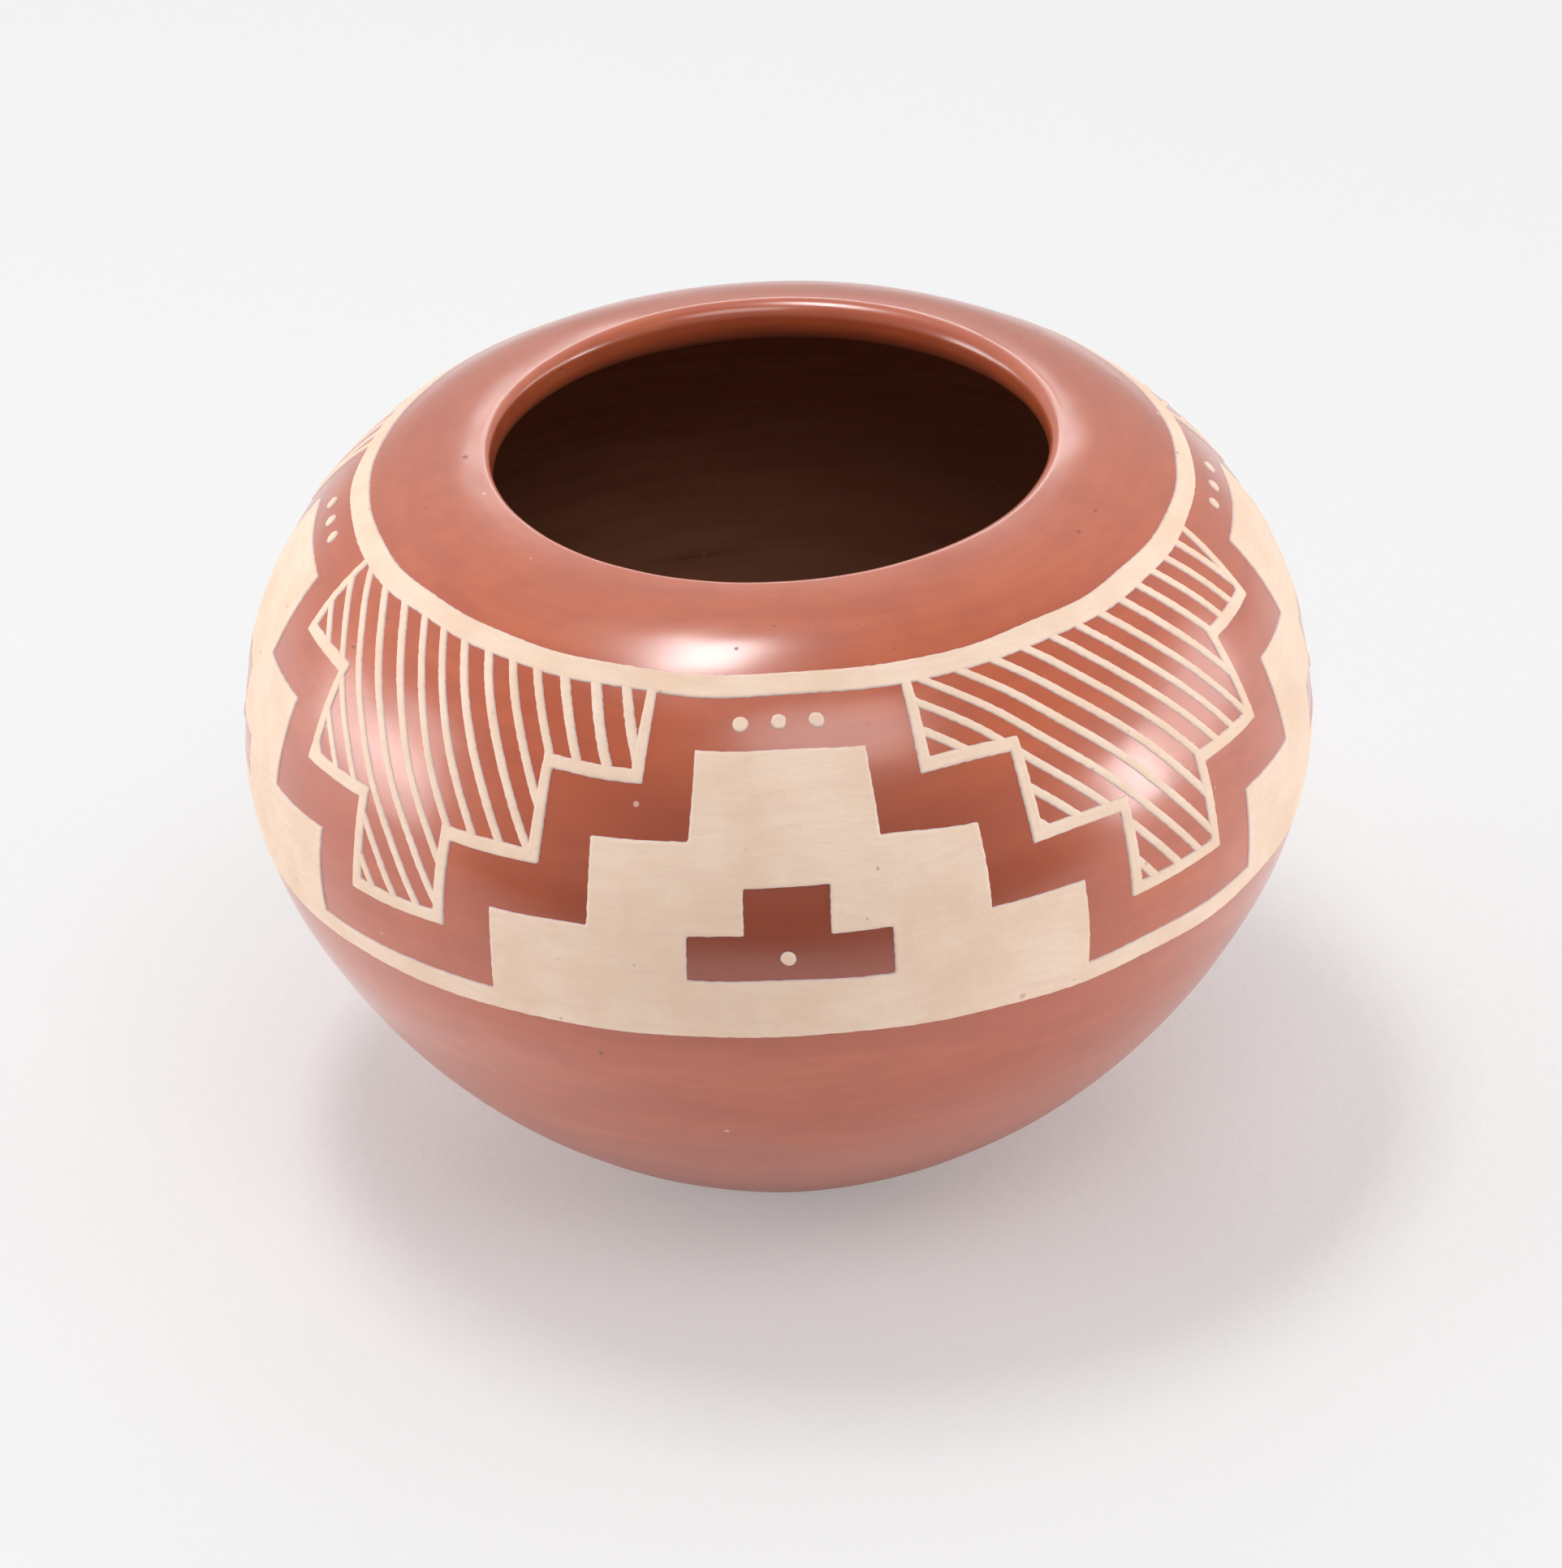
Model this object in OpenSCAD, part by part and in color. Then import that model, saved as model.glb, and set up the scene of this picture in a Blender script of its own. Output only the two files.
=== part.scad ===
// A low, wide, coil-built pottery jar with an incurved lip, a polished red slip
// and a band of interlocking stepped figures painted in cream slip.
// Sizes are in millimetres. The origin is the centre of the standing face, +Z up.

/* [Body] */
// Widest diameter of the polished jar
body_d = 140; // [134:1:146]
// Height of the shoulder where it reaches the lip
body_h = 101; // [97:1:106]
// Diameter of the flat standing face
foot_d = 45; // [40:1:50]
// Width of the mouth at its narrowest
mouth_d = 71.6; // [66:0.2:78]
// Thickness of the wall, from the inner face to the polished surface
wall_t = 5.5; // [4.8:0.1:6.5]
// Thickness of the floor at its middle
floor_t = 6.5; // [5.5:0.1:8]
// Radius of the bowl where the floor turns up into the wall
floor_round = 30; // [25:1:34]

/* [Profile] */
// Slope of the wall as it leaves the standing face, in degrees from level
foot_turn = 24; // [22:1:27]
// Slope at which the long lower curve passes into the belly, in degrees
low_turn = 65; // [62:1:68]
// Slope at which the belly passes into the shoulder, in degrees
high_turn = 146; // [144:1:149]
// Slope at which the shoulder reaches the lip, in degrees (180 is level, inwards)
lip_turn = 174; // [172:1:177]

/* [Lip] */
// Radius of the crisp upper edge of the lip
lip_edge_r = 1.2; // [0.8:0.1:1.6]
// Radius of the soft lower edge of the lip, inside the mouth
lip_under_r = 2.6; // [2:0.1:3]

/* [Coils] */
// Diameter of the moulded base pad at its upper seam
pad_d = 74; // [66:1:80]
// Height of the last coil, measured along the shoulder, up to the lip
rim_coil_h = 15; // [12:0.5:20]
// How far each seam climbs along the wall as it passes through it
lap = 5; // [2:0.5:8]

/* [Slip] */
// Thickness of the polished red slip coat
slip_t = 0.3; // [0.2:0.05:0.5]
// Thickness of the painted cream slip
paint_t = 0.25; // [0.15:0.05:0.4]

/* [Band] */
// Distance along the wall from the widest line down to the band's lower edge
band_down = 8.3; // [6:0.1:12]
// Distance along the wall from the widest line up to the band's upper edge
band_up = 41; // [38:0.1:44]
// Width of the two framing lines
frame_w = 3.2; // [2.4:0.1:4]
// How often the figures repeat round the jar
repeats = 4; // [3:1:5]
// Width of the red channel between the figures, on the belly
channel_w = 7; // [5:0.5:8.5]
// Half of a standing terrace's lowest step, as a share of one repeat
terrace_share = 0.36; // [0.34:0.01:0.37]
// Half of a standing terrace's top step, as a share of one repeat
crown_share = 0.115; // [0.1:0.005:0.14]
// Width of the line that outlines a hanging figure
outline_w = 1.8; // [1.4:0.1:2.2]

/* [Fill] */
// Width of one hatching stroke
stroke_w = 1.2; // [0.8:0.1:1.6]
// Distance from one hatching stroke to the next
stroke_pitch = 3.3; // [2.6:0.1:4.5]
// Lean of the hatching strokes from upright, in degrees
stroke_lean = 38; // [25:1:50]
// Diameter of a painted dot
dot_d = 2; // [1.4:0.1:2.6]
// Distance between the centres of neighbouring dots
dot_pitch = 4.6; // [3.8:0.1:6]
// Height of the red window in a standing terrace
window_h = 12.5; // [10:0.5:15]
// Width of the red window's lower part, on the belly
window_w = 26; // [20:1:32]
// Width of the red window's upper part, on the belly
window_top_w = 11; // [8:0.5:14]

/* [Hidden] */
$fn = 180;
coils = 7;
degree = PI / 180;
// How far cutters and seams run past what they cut
clear_cut = 3;
clear_turn = 2;
seam_over = 3;
root_in = 0.6;
join_turn = 0.05;

clay_colour = "#5a3425";
slip_colour = "#b4593f";
cream_colour = "#f3d9c4";

// The outside is three arcs, each tangent to the next. Their radii follow from the
// height, the widest diameter, the foot and the neck, and from where the slopes change.
body_r = body_d / 2;
foot_r = foot_d / 2;
neck_r = mouth_d / 2 + lip_under_r + (wall_t - lip_under_r) * sin(lip_turn);
low_run = sin(low_turn) - sin(foot_turn);
high_run = sin(high_turn) - sin(lip_turn);
low_rise = (cos(foot_turn) - cos(low_turn)) / low_run;
high_rise = (cos(high_turn) - cos(lip_turn)) / high_run;
outer_rise = (body_r - foot_r) * low_rise + (body_r - neck_r) * high_rise;
belly_rise = cos(low_turn) - cos(high_turn)
           - (1 - sin(low_turn)) * low_rise - (1 - sin(high_turn)) * high_rise;
belly_arc = (body_h - outer_rise) / belly_rise;
low_arc = (body_r - foot_r - belly_arc * (1 - sin(low_turn))) / low_run;
high_arc = (body_r - neck_r - belly_arc * (1 - sin(high_turn))) / high_run;

// A turn is the slope of the wall in degrees: 0 is level outwards, 90 upright, 180 level inwards.
function outward(turn) = [sin(turn), -cos(turn)];
function along(turn) = [cos(turn), sin(turn)];
belly_z = low_arc * (cos(foot_turn) - cos(low_turn)) + belly_arc * cos(low_turn);
belly_c = [body_r - belly_arc, belly_z];
low_c = belly_c + (belly_arc - low_arc) * outward(low_turn);
high_c = belly_c + (belly_arc - high_arc) * outward(high_turn);
ARCS = [[low_c, low_arc, foot_turn, low_turn],
        [belly_c, belly_arc, low_turn, high_turn],
        [high_c, high_arc, high_turn, lip_turn]];

// A place on the wall, at a turn and at a depth below the polished surface
function arc_of(turn) = turn < low_turn ? ARCS[0] : turn < high_turn ? ARCS[1] : ARCS[2];
function on_wall(turn, depth) = arc_of(turn)[0] + (arc_of(turn)[1] - depth) * outward(turn);

// Distances along the wall are measured from the widest line, up the wall
low_break = (low_turn - 90) * degree * belly_arc;
high_break = (high_turn - 90) * degree * belly_arc;
function turn_at(way) =
    way < low_break ? low_turn + (way - low_break) / low_arc / degree
    : way < high_break ? 90 + way / belly_arc / degree
    : high_turn + (way - high_break) / high_arc / degree;
function way_at(turn) =
    turn < low_turn ? low_break + (turn - low_turn) * degree * low_arc
    : turn < high_turn ? (turn - 90) * degree * belly_arc
    : high_break + (turn - high_turn) * degree * high_arc;

// The bowl inside: an arc that is tangent to the flat floor and to the inner wall
bowl_gap = low_arc - wall_t - floor_round;
bowl_c = [low_c[0] + sqrt(bowl_gap ^ 2 - (low_c[1] - floor_t - floor_round) ^ 2),
          floor_t + floor_round];
bowl_turn = asin((bowl_c[0] - low_c[0]) / bowl_gap);

// Seams, as turns on the outside of the wall, from the base pad up to the rim coil
pad_seam = asin((pad_d / 2 - low_c[0]) / low_arc);
first_way = way_at(pad_seam);
coil_h = (way_at(lip_turn) - rim_coil_h - first_way) / coils;
SEAMS = [for (number = [0 : coils]) turn_at(first_way + number * coil_h)];

// The painted field lies between the framing lines. Widths become angles on the belly.
field_low = frame_w - band_down;
field_high = band_up - frame_w;
step_h = (field_high - field_low - channel_w) / 3;
front_angle = -90;
repeat_angle = 360 / repeats;
function belly_angle(width) = width / body_r / degree;
STANDING = [for (step = [0 : 2])
            repeat_angle * (terrace_share + (crown_share - terrace_share) * step / 2)];
HANGING = [for (step = [2 : -1 : 0]) repeat_angle / 2 - STANDING[step] - belly_angle(channel_w)];
HATCHED = [for (half = HANGING) half - belly_angle(outline_w)];
window_half = belly_angle(window_w) / 2;
window_top_half = belly_angle(window_top_w) / 2;
window_low = field_low + (step_h * 2 - window_h) / 2;
window_mid = window_low + window_h / 2;
dot_angle = dot_pitch / on_wall(turn_at(field_high), 0)[0] / degree;

// The section of the wall, from the axis outwards

module wedge(from, to, reach) {
    polygon([[0, 0], reach * outward(from), reach * outward(to)]);
}

// The part of the wall between two depths and two turns
module wall_piece(top_depth, deep_depth, from, to) {
    for (arc = ARCS)
        if (from < arc[3] && to > arc[2])
            translate(arc[0])
                intersection() {
                    difference() {
                        circle(arc[1] - top_depth);
                        circle(arc[1] - deep_depth);
                    }
                    wedge(max(from, arc[2] - join_turn), min(to, arc[3] + join_turn), 2 * arc[1]);
                }
}

// The rounded end of the lip, past the last turn, drawn in all round by an inset
module lip_end(inset) {
    translate(on_wall(lip_turn, 0))
        rotate(lip_turn) {
            translate([-root_in, lip_edge_r])
                square([root_in + lip_under_r - inset, wall_t - lip_under_r - lip_edge_r]);
            translate([-root_in, inset])
                square([root_in + lip_under_r - lip_edge_r, wall_t - lip_under_r - inset]);
            translate([lip_under_r - lip_edge_r, lip_edge_r])
                circle(lip_edge_r - inset);
            translate([0, wall_t - lip_under_r])
                circle(lip_under_r - inset);
        }
}

// Everything past the end of the last arc
module past_the_shoulder() {
    translate(on_wall(lip_turn, 0))
        rotate(lip_turn)
            translate([0, -wall_t])
                square(3 * wall_t);
}

// The clay floor: a flat disc whose bowl rounds up into the wall
module floor_piece() {
    difference() {
        polygon([[0, 0], on_wall(foot_turn, 0), on_wall(foot_turn, slip_t),
                 on_wall(bowl_turn, wall_t), bowl_c, [0, bowl_c[1]]]);
        translate(bowl_c)
            circle(floor_round);
        translate([0, floor_t])
            square([bowl_c[0], floor_round]);
    }
}

// The whole clay section, under its slip coat
module clay_section() {
    wall_piece(slip_t, wall_t, foot_turn, lip_turn);
    floor_piece();
    lip_end(slip_t);
}

// A point on the seam that starts at a turn outside and climbs by the lap inside
function seam_at(turn, depth) =
    let (inner = on_wall(turn_at(way_at(turn) + lap), wall_t),
         outer = on_wall(turn, 0))
    outer + (inner - outer) * depth / wall_t;

// One course of clay between two bevelled seams
module course(lower, upper) {
    color(clay_colour)
        rotate_extrude()
            intersection() {
                clay_section();
                polygon([seam_at(lower, -seam_over), seam_at(lower, wall_t + seam_over),
                         seam_at(upper, wall_t + seam_over), seam_at(upper, -seam_over)]);
            }
}

// Clay

module base() {
    color(clay_colour)
        rotate_extrude()
            intersection() {
                clay_section();
                polygon([[0, 0], [body_r, 0], seam_at(SEAMS[0], -seam_over),
                         seam_at(SEAMS[0], wall_t + seam_over), [0, bowl_c[1]]]);
            }
}

module coil(number) {
    course(SEAMS[number - 1], SEAMS[number]);
}

// The last coil is turned over inwards and rounded to make the lip
module rim_coil() {
    color(clay_colour)
        rotate_extrude()
            intersection() {
                clay_section();
                polygon([seam_at(SEAMS[coils], -seam_over), seam_at(SEAMS[coils], wall_t + seam_over),
                         [0, belly_z], [0, 2 * body_h], [body_r, 2 * body_h]]);
            }
}

// Slip

// The polished coat runs from the standing face over the shoulder and round the lip
module red_slip() {
    color(slip_colour)
        rotate_extrude() {
            wall_piece(0, slip_t, foot_turn, lip_turn);
            difference() {
                intersection() {
                    lip_end(0);
                    past_the_shoulder();
                }
                lip_end(slip_t);
            }
        }
}

// A patch of paint that follows the wall: angles round the jar, distances along the wall
module patch(from_angle, to_angle, low, high) {
    rotate([0, 0, from_angle])
        rotate_extrude(angle = to_angle - from_angle)
            wall_piece(-paint_t, 0, turn_at(low), turn_at(high));
}

module frame_line(low) {
    color(cream_colour)
        rotate_extrude()
            wall_piece(-paint_t, 0, turn_at(low), turn_at(low + frame_w));
}

module lower_frame_line() {
    frame_line(-band_down);
}

module upper_frame_line() {
    frame_line(band_up - frame_w);
}

// A cutter has the same edges as a patch, but straight faces that stand clear of the paint
module cut_patch(from_angle, to_angle, low, high) {
    turns = [for (part = [0 : 3]) turn_at(low + (high - low) * part / 3)];
    rotate([0, 0, from_angle])
        rotate_extrude(angle = to_angle - from_angle)
            polygon([for (turn = turns) on_wall(turn, -clear_cut),
                     on_wall(turns[3], clear_cut), on_wall(turns[0], clear_cut)]);
}

// A stepped figure: half widths in degrees from its root, and where each step ends
module stepped(halves, root, ends) {
    way = sign(ends[2] - root);
    tip = ends[2] + way * clear_cut;
    difference() {
        patch(-halves[0], halves[0], min(root, ends[2]), max(root, ends[2]));
        for (step = [1, 2])
            for (side = [-1, 1]) {
                edges = [side * halves[step], side * (halves[0] + clear_turn)];
                cut_patch(min(edges), max(edges), min(ends[step - 1], tip), max(ends[step - 1], tip));
            }
    }
}

// A dot lies flat on the wall
module dot(angle, way) {
    turn = turn_at(way);
    place = on_wall(turn, 0);
    rotate([0, 0, angle])
        translate([place[0], 0, place[1]])
            rotate([0, 180 - turn, 0])
                cylinder(d = dot_d, h = paint_t, $fn = 32);
}

module each_repeat(shift) {
    for (number = [0 : repeats - 1])
        rotate([0, 0, front_angle + (number + shift) * repeat_angle])
            children();
}

// Solid cloud terraces stand on the lower line, each with a stepped red window
module standing_terraces() {
    color(cream_colour)
        each_repeat(0)
            difference() {
                stepped(STANDING, field_low, [for (step = [1 : 3]) field_low + step * step_h]);
                cut_patch(-window_half, window_half, window_low, window_mid);
                cut_patch(-window_top_half, window_top_half, window_low, window_low + window_h);
            }
}

module window_dots() {
    color(cream_colour)
        each_repeat(0)
            dot(0, (window_low + window_mid) / 2);
}

// Three dots over each terrace, in the red channel
module cloud_dots() {
    color(cream_colour)
        each_repeat(0)
            for (place = [-1 : 1])
                dot(place * dot_angle, field_high - channel_w / 2);
}

// Outlined terraces hang from the upper line, between the standing ones
module hanging_terraces() {
    color(cream_colour)
        each_repeat(0.5)
            difference() {
                stepped(HANGING, field_high, [for (step = [1 : 3]) field_high - step * step_h]);
                for (step = [1 : 3])
                    cut_patch(-HATCHED[step - 1], HATCHED[step - 1],
                              field_high - step * step_h + outline_w, field_high + clear_cut);
            }
}

// Slanted strokes of rain fill the hanging terraces
module rain_hatching() {
    turn = turn_at((field_low + field_high) / 2);
    place = on_wall(turn, 0);
    reach = HATCHED[0] * degree * place[0] * 2;
    color(cream_colour)
        each_repeat(0.5)
            intersection() {
                stepped(HATCHED, field_high,
                        [for (step = [1 : 3]) field_high - step * step_h + outline_w]);
                translate([place[0], 0, place[1]])
                    rotate([0, 90 - turn, 0])
                        rotate([stroke_lean, 0, 0])
                            for (across = [-reach : stroke_pitch : reach])
                                translate([-reach / 2, across - stroke_w / 2, -reach])
                                    cube([reach, stroke_w, 2 * reach]);
            }
}

base();
coil(1);  // coil_1
coil(2);  // coil_2
coil(3);  // coil_3
coil(4);  // coil_4
coil(5);  // coil_5
coil(6);  // coil_6
coil(7);  // coil_7
rim_coil();
red_slip();
lower_frame_line();
upper_frame_line();
standing_terraces();
window_dots();
cloud_dots();
hanging_terraces();
rain_hatching();
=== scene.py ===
# %% [markdown]
# # A coil-built jar, dressed around its frame
# The frame holds the jar's construction: a base pad, seven wall coils, a rim coil, a red
# slip coat and a painted band. This lesson gives each of them the surface that a potter's
# hands leave: a wall that is nearly but not quite round, a stone-polished slip, and thick
# cream paint with brushed edges. Everything is in the frame's own place, in metres.

# %% Load the frame
import math

import bmesh
import bpy
import numpy as np
from mathutils import Matrix, Vector


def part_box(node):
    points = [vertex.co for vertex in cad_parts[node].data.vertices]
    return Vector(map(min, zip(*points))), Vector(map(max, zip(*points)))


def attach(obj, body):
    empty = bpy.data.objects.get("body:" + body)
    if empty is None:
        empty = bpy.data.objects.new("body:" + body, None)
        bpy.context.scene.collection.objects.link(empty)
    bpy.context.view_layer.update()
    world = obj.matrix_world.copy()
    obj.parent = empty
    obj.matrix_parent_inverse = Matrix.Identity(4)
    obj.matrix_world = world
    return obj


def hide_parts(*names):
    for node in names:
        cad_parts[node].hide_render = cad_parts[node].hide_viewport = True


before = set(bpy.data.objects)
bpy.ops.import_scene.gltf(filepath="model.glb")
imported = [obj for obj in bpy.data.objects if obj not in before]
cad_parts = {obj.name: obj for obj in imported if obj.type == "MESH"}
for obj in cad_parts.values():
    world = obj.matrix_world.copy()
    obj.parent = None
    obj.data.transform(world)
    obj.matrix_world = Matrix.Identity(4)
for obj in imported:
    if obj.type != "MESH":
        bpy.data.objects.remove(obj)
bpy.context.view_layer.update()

# %% [markdown]
# ## The wall as one line
# Seen from the side, the real wall is a single easy curve: a long low curve out of the
# foot, a rounder belly, and a tight shoulder that turns in to the lip. It could be drawn
# as a spline by eye. Three arcs that are tangent to each other are better, because the
# paint, the slip and the clay can then all be placed by two plain numbers: how far along
# the wall, and how deep under its surface. The frame's box tells the widest radius and the
# height of the crest. The sizes that no box tells are the ones the frame was built with.

# %% The wall's sizes, in millimetres and degrees
MM = 0.001
_, slip_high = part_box("red_slip")
BODY_R = slip_high.x / MM
CREST_Z = slip_high.z / MM
FOOT_R = 22.5
MOUTH_R = 35.8
WALL = 5.5
SLIP = 0.3
LIP_EDGE = 1.2
LIP_UNDER = 2.6
FOOT_TURN, LOW_TURN, HIGH_TURN, LIP_TURN = 24.0, 65.0, 146.0, 174.0
print("widest radius and crest height, mm:", round(BODY_R, 2), round(CREST_Z, 2))


# %% Two directions at any slope of the wall
def outward(turn):
    """The wall's outward direction (r, z) where its slope is this turn, in degrees."""
    angle = np.radians(turn)
    return np.stack([np.sin(angle), -np.cos(angle)], axis=-1)


def along(turn):
    """The direction (r, z) in which the wall runs on, where its slope is this turn."""
    angle = np.radians(turn)
    return np.stack([np.cos(angle), np.sin(angle)], axis=-1)


print("outward from the foot's edge (r, z):", outward(FOOT_TURN).round(3))

# %% [markdown]
# ## Solving the three arcs
# The radii aren't chosen. They follow from the height, the widest diameter, the foot and
# the neck, because two of the three conditions give the outer radii in terms of the
# belly's, and the height then fixes the belly's. The frame's box gives the crest's height,
# and the lip's own sizes take us from there down to where the shoulder arc ends.

# %% Radii and centres of the arcs
NECK_R = MOUTH_R + LIP_UNDER + (WALL - LIP_UNDER) * math.sin(math.radians(LIP_TURN))
CREST_RISE = (LIP_UNDER - LIP_EDGE) * math.sin(math.radians(LIP_TURN)) + LIP_EDGE * (
    1 - math.cos(math.radians(180 - LIP_TURN))
)
BODY_H = CREST_Z - CREST_RISE


def solve_arcs():
    """Radii and centres of the low, belly and shoulder arcs."""
    (foot_s, foot_c), (low_s, low_c), (high_s, high_c), (lip_s, lip_c) = [
        (math.sin(math.radians(t)), math.cos(math.radians(t)))
        for t in (FOOT_TURN, LOW_TURN, HIGH_TURN, LIP_TURN)
    ]
    low_rise = (foot_c - low_c) / (low_s - foot_s)
    high_rise = (high_c - lip_c) / (high_s - lip_s)
    outer_rise = (BODY_R - FOOT_R) * low_rise + (BODY_R - NECK_R) * high_rise
    belly_rise = low_c - high_c - (1 - low_s) * low_rise - (1 - high_s) * high_rise
    belly = (BODY_H - outer_rise) / belly_rise
    low = (BODY_R - FOOT_R - belly * (1 - low_s)) / (low_s - foot_s)
    shoulder = (BODY_R - NECK_R - belly * (1 - high_s)) / (high_s - lip_s)
    belly_centre = np.array([BODY_R - belly, low * (foot_c - low_c) + belly * low_c])
    low_centre = belly_centre + (belly - low) * outward(LOW_TURN)
    shoulder_centre = belly_centre + (belly - shoulder) * outward(HIGH_TURN)
    return [(low_centre, low), (belly_centre, belly), (shoulder_centre, shoulder)]


ARCS = solve_arcs()
LOW_WAY = math.radians(LOW_TURN - 90) * ARCS[1][1]
HIGH_WAY = math.radians(HIGH_TURN - 90) * ARCS[1][1]
FOOT_WAY = LOW_WAY - math.radians(LOW_TURN - FOOT_TURN) * ARCS[0][1]
LIP_WAY = HIGH_WAY + math.radians(LIP_TURN - HIGH_TURN) * ARCS[2][1]
print("arc radii, mm:", [round(float(a[1]), 2) for a in ARCS])


# %% The slope at any distance along the wall
def turn_at(way):
    """The slope of the wall, a distance along it from its widest line."""
    way = np.asarray(way, float)
    low = LOW_TURN + np.degrees((way - LOW_WAY) / ARCS[0][1])
    belly = 90 + np.degrees(way / ARCS[1][1])
    shoulder = HIGH_TURN + np.degrees((way - HIGH_WAY) / ARCS[2][1])
    return np.where(way < LOW_WAY, low, np.where(way < HIGH_WAY, belly, shoulder))


print("slopes at foot, widest line and lip:", turn_at([FOOT_WAY, 0, LIP_WAY]).round(1))

# %% [markdown]
# ## Past the shoulder: the lip
# The rim coil is turned over inwards, so the wall ends in a small blunt nose: a crisp upper
# edge, a short inner face and a soft underside. Its corners are too small for a modifier to
# round well at this scale, so they are walked through in even steps like the rest.

# %% The lip, at any roundness of its upper edge
CORNER_POINTS, FLAT_POINTS, FACE_POINTS = 12, 4, 5


def lip_line(edge_r):
    """Points (r, z) and outward directions of the lip, after the shoulder arc ends."""
    end = ARCS[2][0] + ARCS[2][1] * outward(LIP_TURN)
    axes = np.array([along(LIP_TURN), -outward(LIP_TURN)])
    quarter = np.linspace(0, math.pi / 2, CORNER_POINTS)
    flat = np.linspace(0, LIP_UNDER - edge_r, FLAT_POINTS)[1:-1]
    face = np.linspace(edge_r, WALL - LIP_UNDER, FACE_POINTS)[1:-1]
    over = np.stack([np.sin(quarter), -np.cos(quarter)], -1)
    under = np.stack([np.cos(quarter), np.sin(quarter)], -1)
    places = np.vstack([
        np.stack([flat, 0 * flat], -1),
        [LIP_UNDER - edge_r, edge_r] + edge_r * over,
        np.stack([0 * face + LIP_UNDER, face], -1),
        [0, WALL - LIP_UNDER] + LIP_UNDER * under,
    ])
    directions = np.vstack([np.tile([0, -1.0], (len(flat), 1)), over,
                            np.tile([1.0, 0], (len(face), 1)), under])
    return end + places @ axes, directions @ axes


print("points round the lip:", len(lip_line(LIP_EDGE)[0]))

# %% One long line from the foot, over the lip, to where the slip ends inside
LINE_STEP = 0.8
CRISP_EDGE, SOFT_EDGE = 0.8, 2.1


def wall_line(edge_r):
    """The polished surface's line: way, (r, z) and outward direction, from the foot inwards."""
    ways = np.arange(FOOT_WAY, LIP_WAY, LINE_STEP)
    turns = turn_at(ways)
    pick = np.where(turns < LOW_TURN, 0, np.where(turns < HIGH_TURN, 1, 2))
    centres = np.array([a[0] for a in ARCS])[pick]
    radii = np.array([a[1] for a in ARCS])[pick]
    lip_places, lip_directions = lip_line(edge_r)
    places = np.vstack([centres + radii[:, None] * outward(turns), lip_places])
    directions = np.vstack([outward(turns), lip_directions])
    gaps = np.linalg.norm(np.diff(places[len(ways) - 1:], axis=0), axis=1)
    ways = np.concatenate([ways, ways[-1] + np.cumsum(gaps)])
    return ways, np.hstack([places, directions])


LINE_WAY, CRISP_LINE = wall_line(CRISP_EDGE)
SOFT_LINE = wall_line(SOFT_EDGE)[1]
END_WAY = LINE_WAY[-1]
print("wall line:", len(LINE_WAY), "points,", round(END_WAY - FOOT_WAY, 1), "mm long")


# %% Any place on that line
def line_at(way, softness=0.0):
    """(r, z) and outward direction of the true figure, at a distance along the wall."""
    way, softness = np.broadcast_arrays(np.asarray(way, float), np.asarray(softness, float))
    crisp = np.stack([np.interp(way, LINE_WAY, CRISP_LINE[:, i]) for i in range(4)], axis=-1)
    soft = np.stack([np.interp(way, LINE_WAY, SOFT_LINE[:, i]) for i in range(4)], axis=-1)
    both = crisp + softness[..., None] * (soft - crisp)
    out = both[..., 2:] / np.linalg.norm(both[..., 2:], axis=-1, keepdims=True)
    return both[..., :2], out


print("the widest place (r, z), mm:", line_at(0.0)[0].round(2))

# %% [markdown]
# ## The potter's hand
# No wheel made this jar, so it isn't a true figure of revolution. It is a little oval, the
# polishing stone has left long, shallow facets, and the lip was turned over by eye: it is
# rounder at the back, dips a millimetre at the front, and its mouth sits a hair to the
# right. A noise texture on a Displace modifier could bend the clay, but then the paint
# wouldn't follow it. A sum of a few slow waves, as a function of where we are, bends the
# clay, the slip and the paint alike, so they stay in touch.

# %% Slow waves round the jar and along its wall
def waves(seed, count, turns, lengths):
    """A smooth field over (angle, way): some waves that go round the jar a whole number of
    turns, and whose length along the wall is in millimetres."""
    rng = np.random.default_rng(seed)
    turns_round = rng.integers(turns[0], turns[1] + 1, count)
    way_rate = 2 * np.pi / rng.uniform(*lengths, count) * rng.choice([-1, 1], count)
    phase = rng.uniform(0, 2 * np.pi, count)
    weight = rng.uniform(0.6, 1.0, count)
    weight /= np.sqrt((weight ** 2).sum() / 2)

    def field(angle, way):
        angle, way = np.broadcast_arrays(np.asarray(angle, float), np.asarray(way, float))
        total = np.zeros(angle.shape)
        for n, k, p, w in zip(turns_round, way_rate, phase, weight):
            total += w * np.sin(n * angle + k * way + p)
        return total

    return field


def smooth_rise(value, low, high):
    """0 below low, 1 above high, and a smooth rise between them."""
    share = np.clip((np.asarray(value, float) - low) / (high - low), 0, 1)
    return share * share * (3 - 2 * share)


# %% How far the hand wandered, outside and inside
FRONT = -math.pi / 2
OVAL = waves(seed=11, count=5, turns=(2, 3), lengths=(160, 320))
DENTS = waves(seed=12, count=14, turns=(4, 11), lengths=(18, 60))
FACETS = waves(seed=13, count=40, turns=(6, 26), lengths=(3.5, 9))
SCRAPES = waves(seed=14, count=30, turns=(4, 18), lengths=(4, 14))
OVAL_MM, DENTS_MM, FACETS_MM, SCRAPES_MM = 0.1, 0.035, 0.005, 0.09
FOOT_FADE, LIP_FADE = 12.0, 10.0


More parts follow.
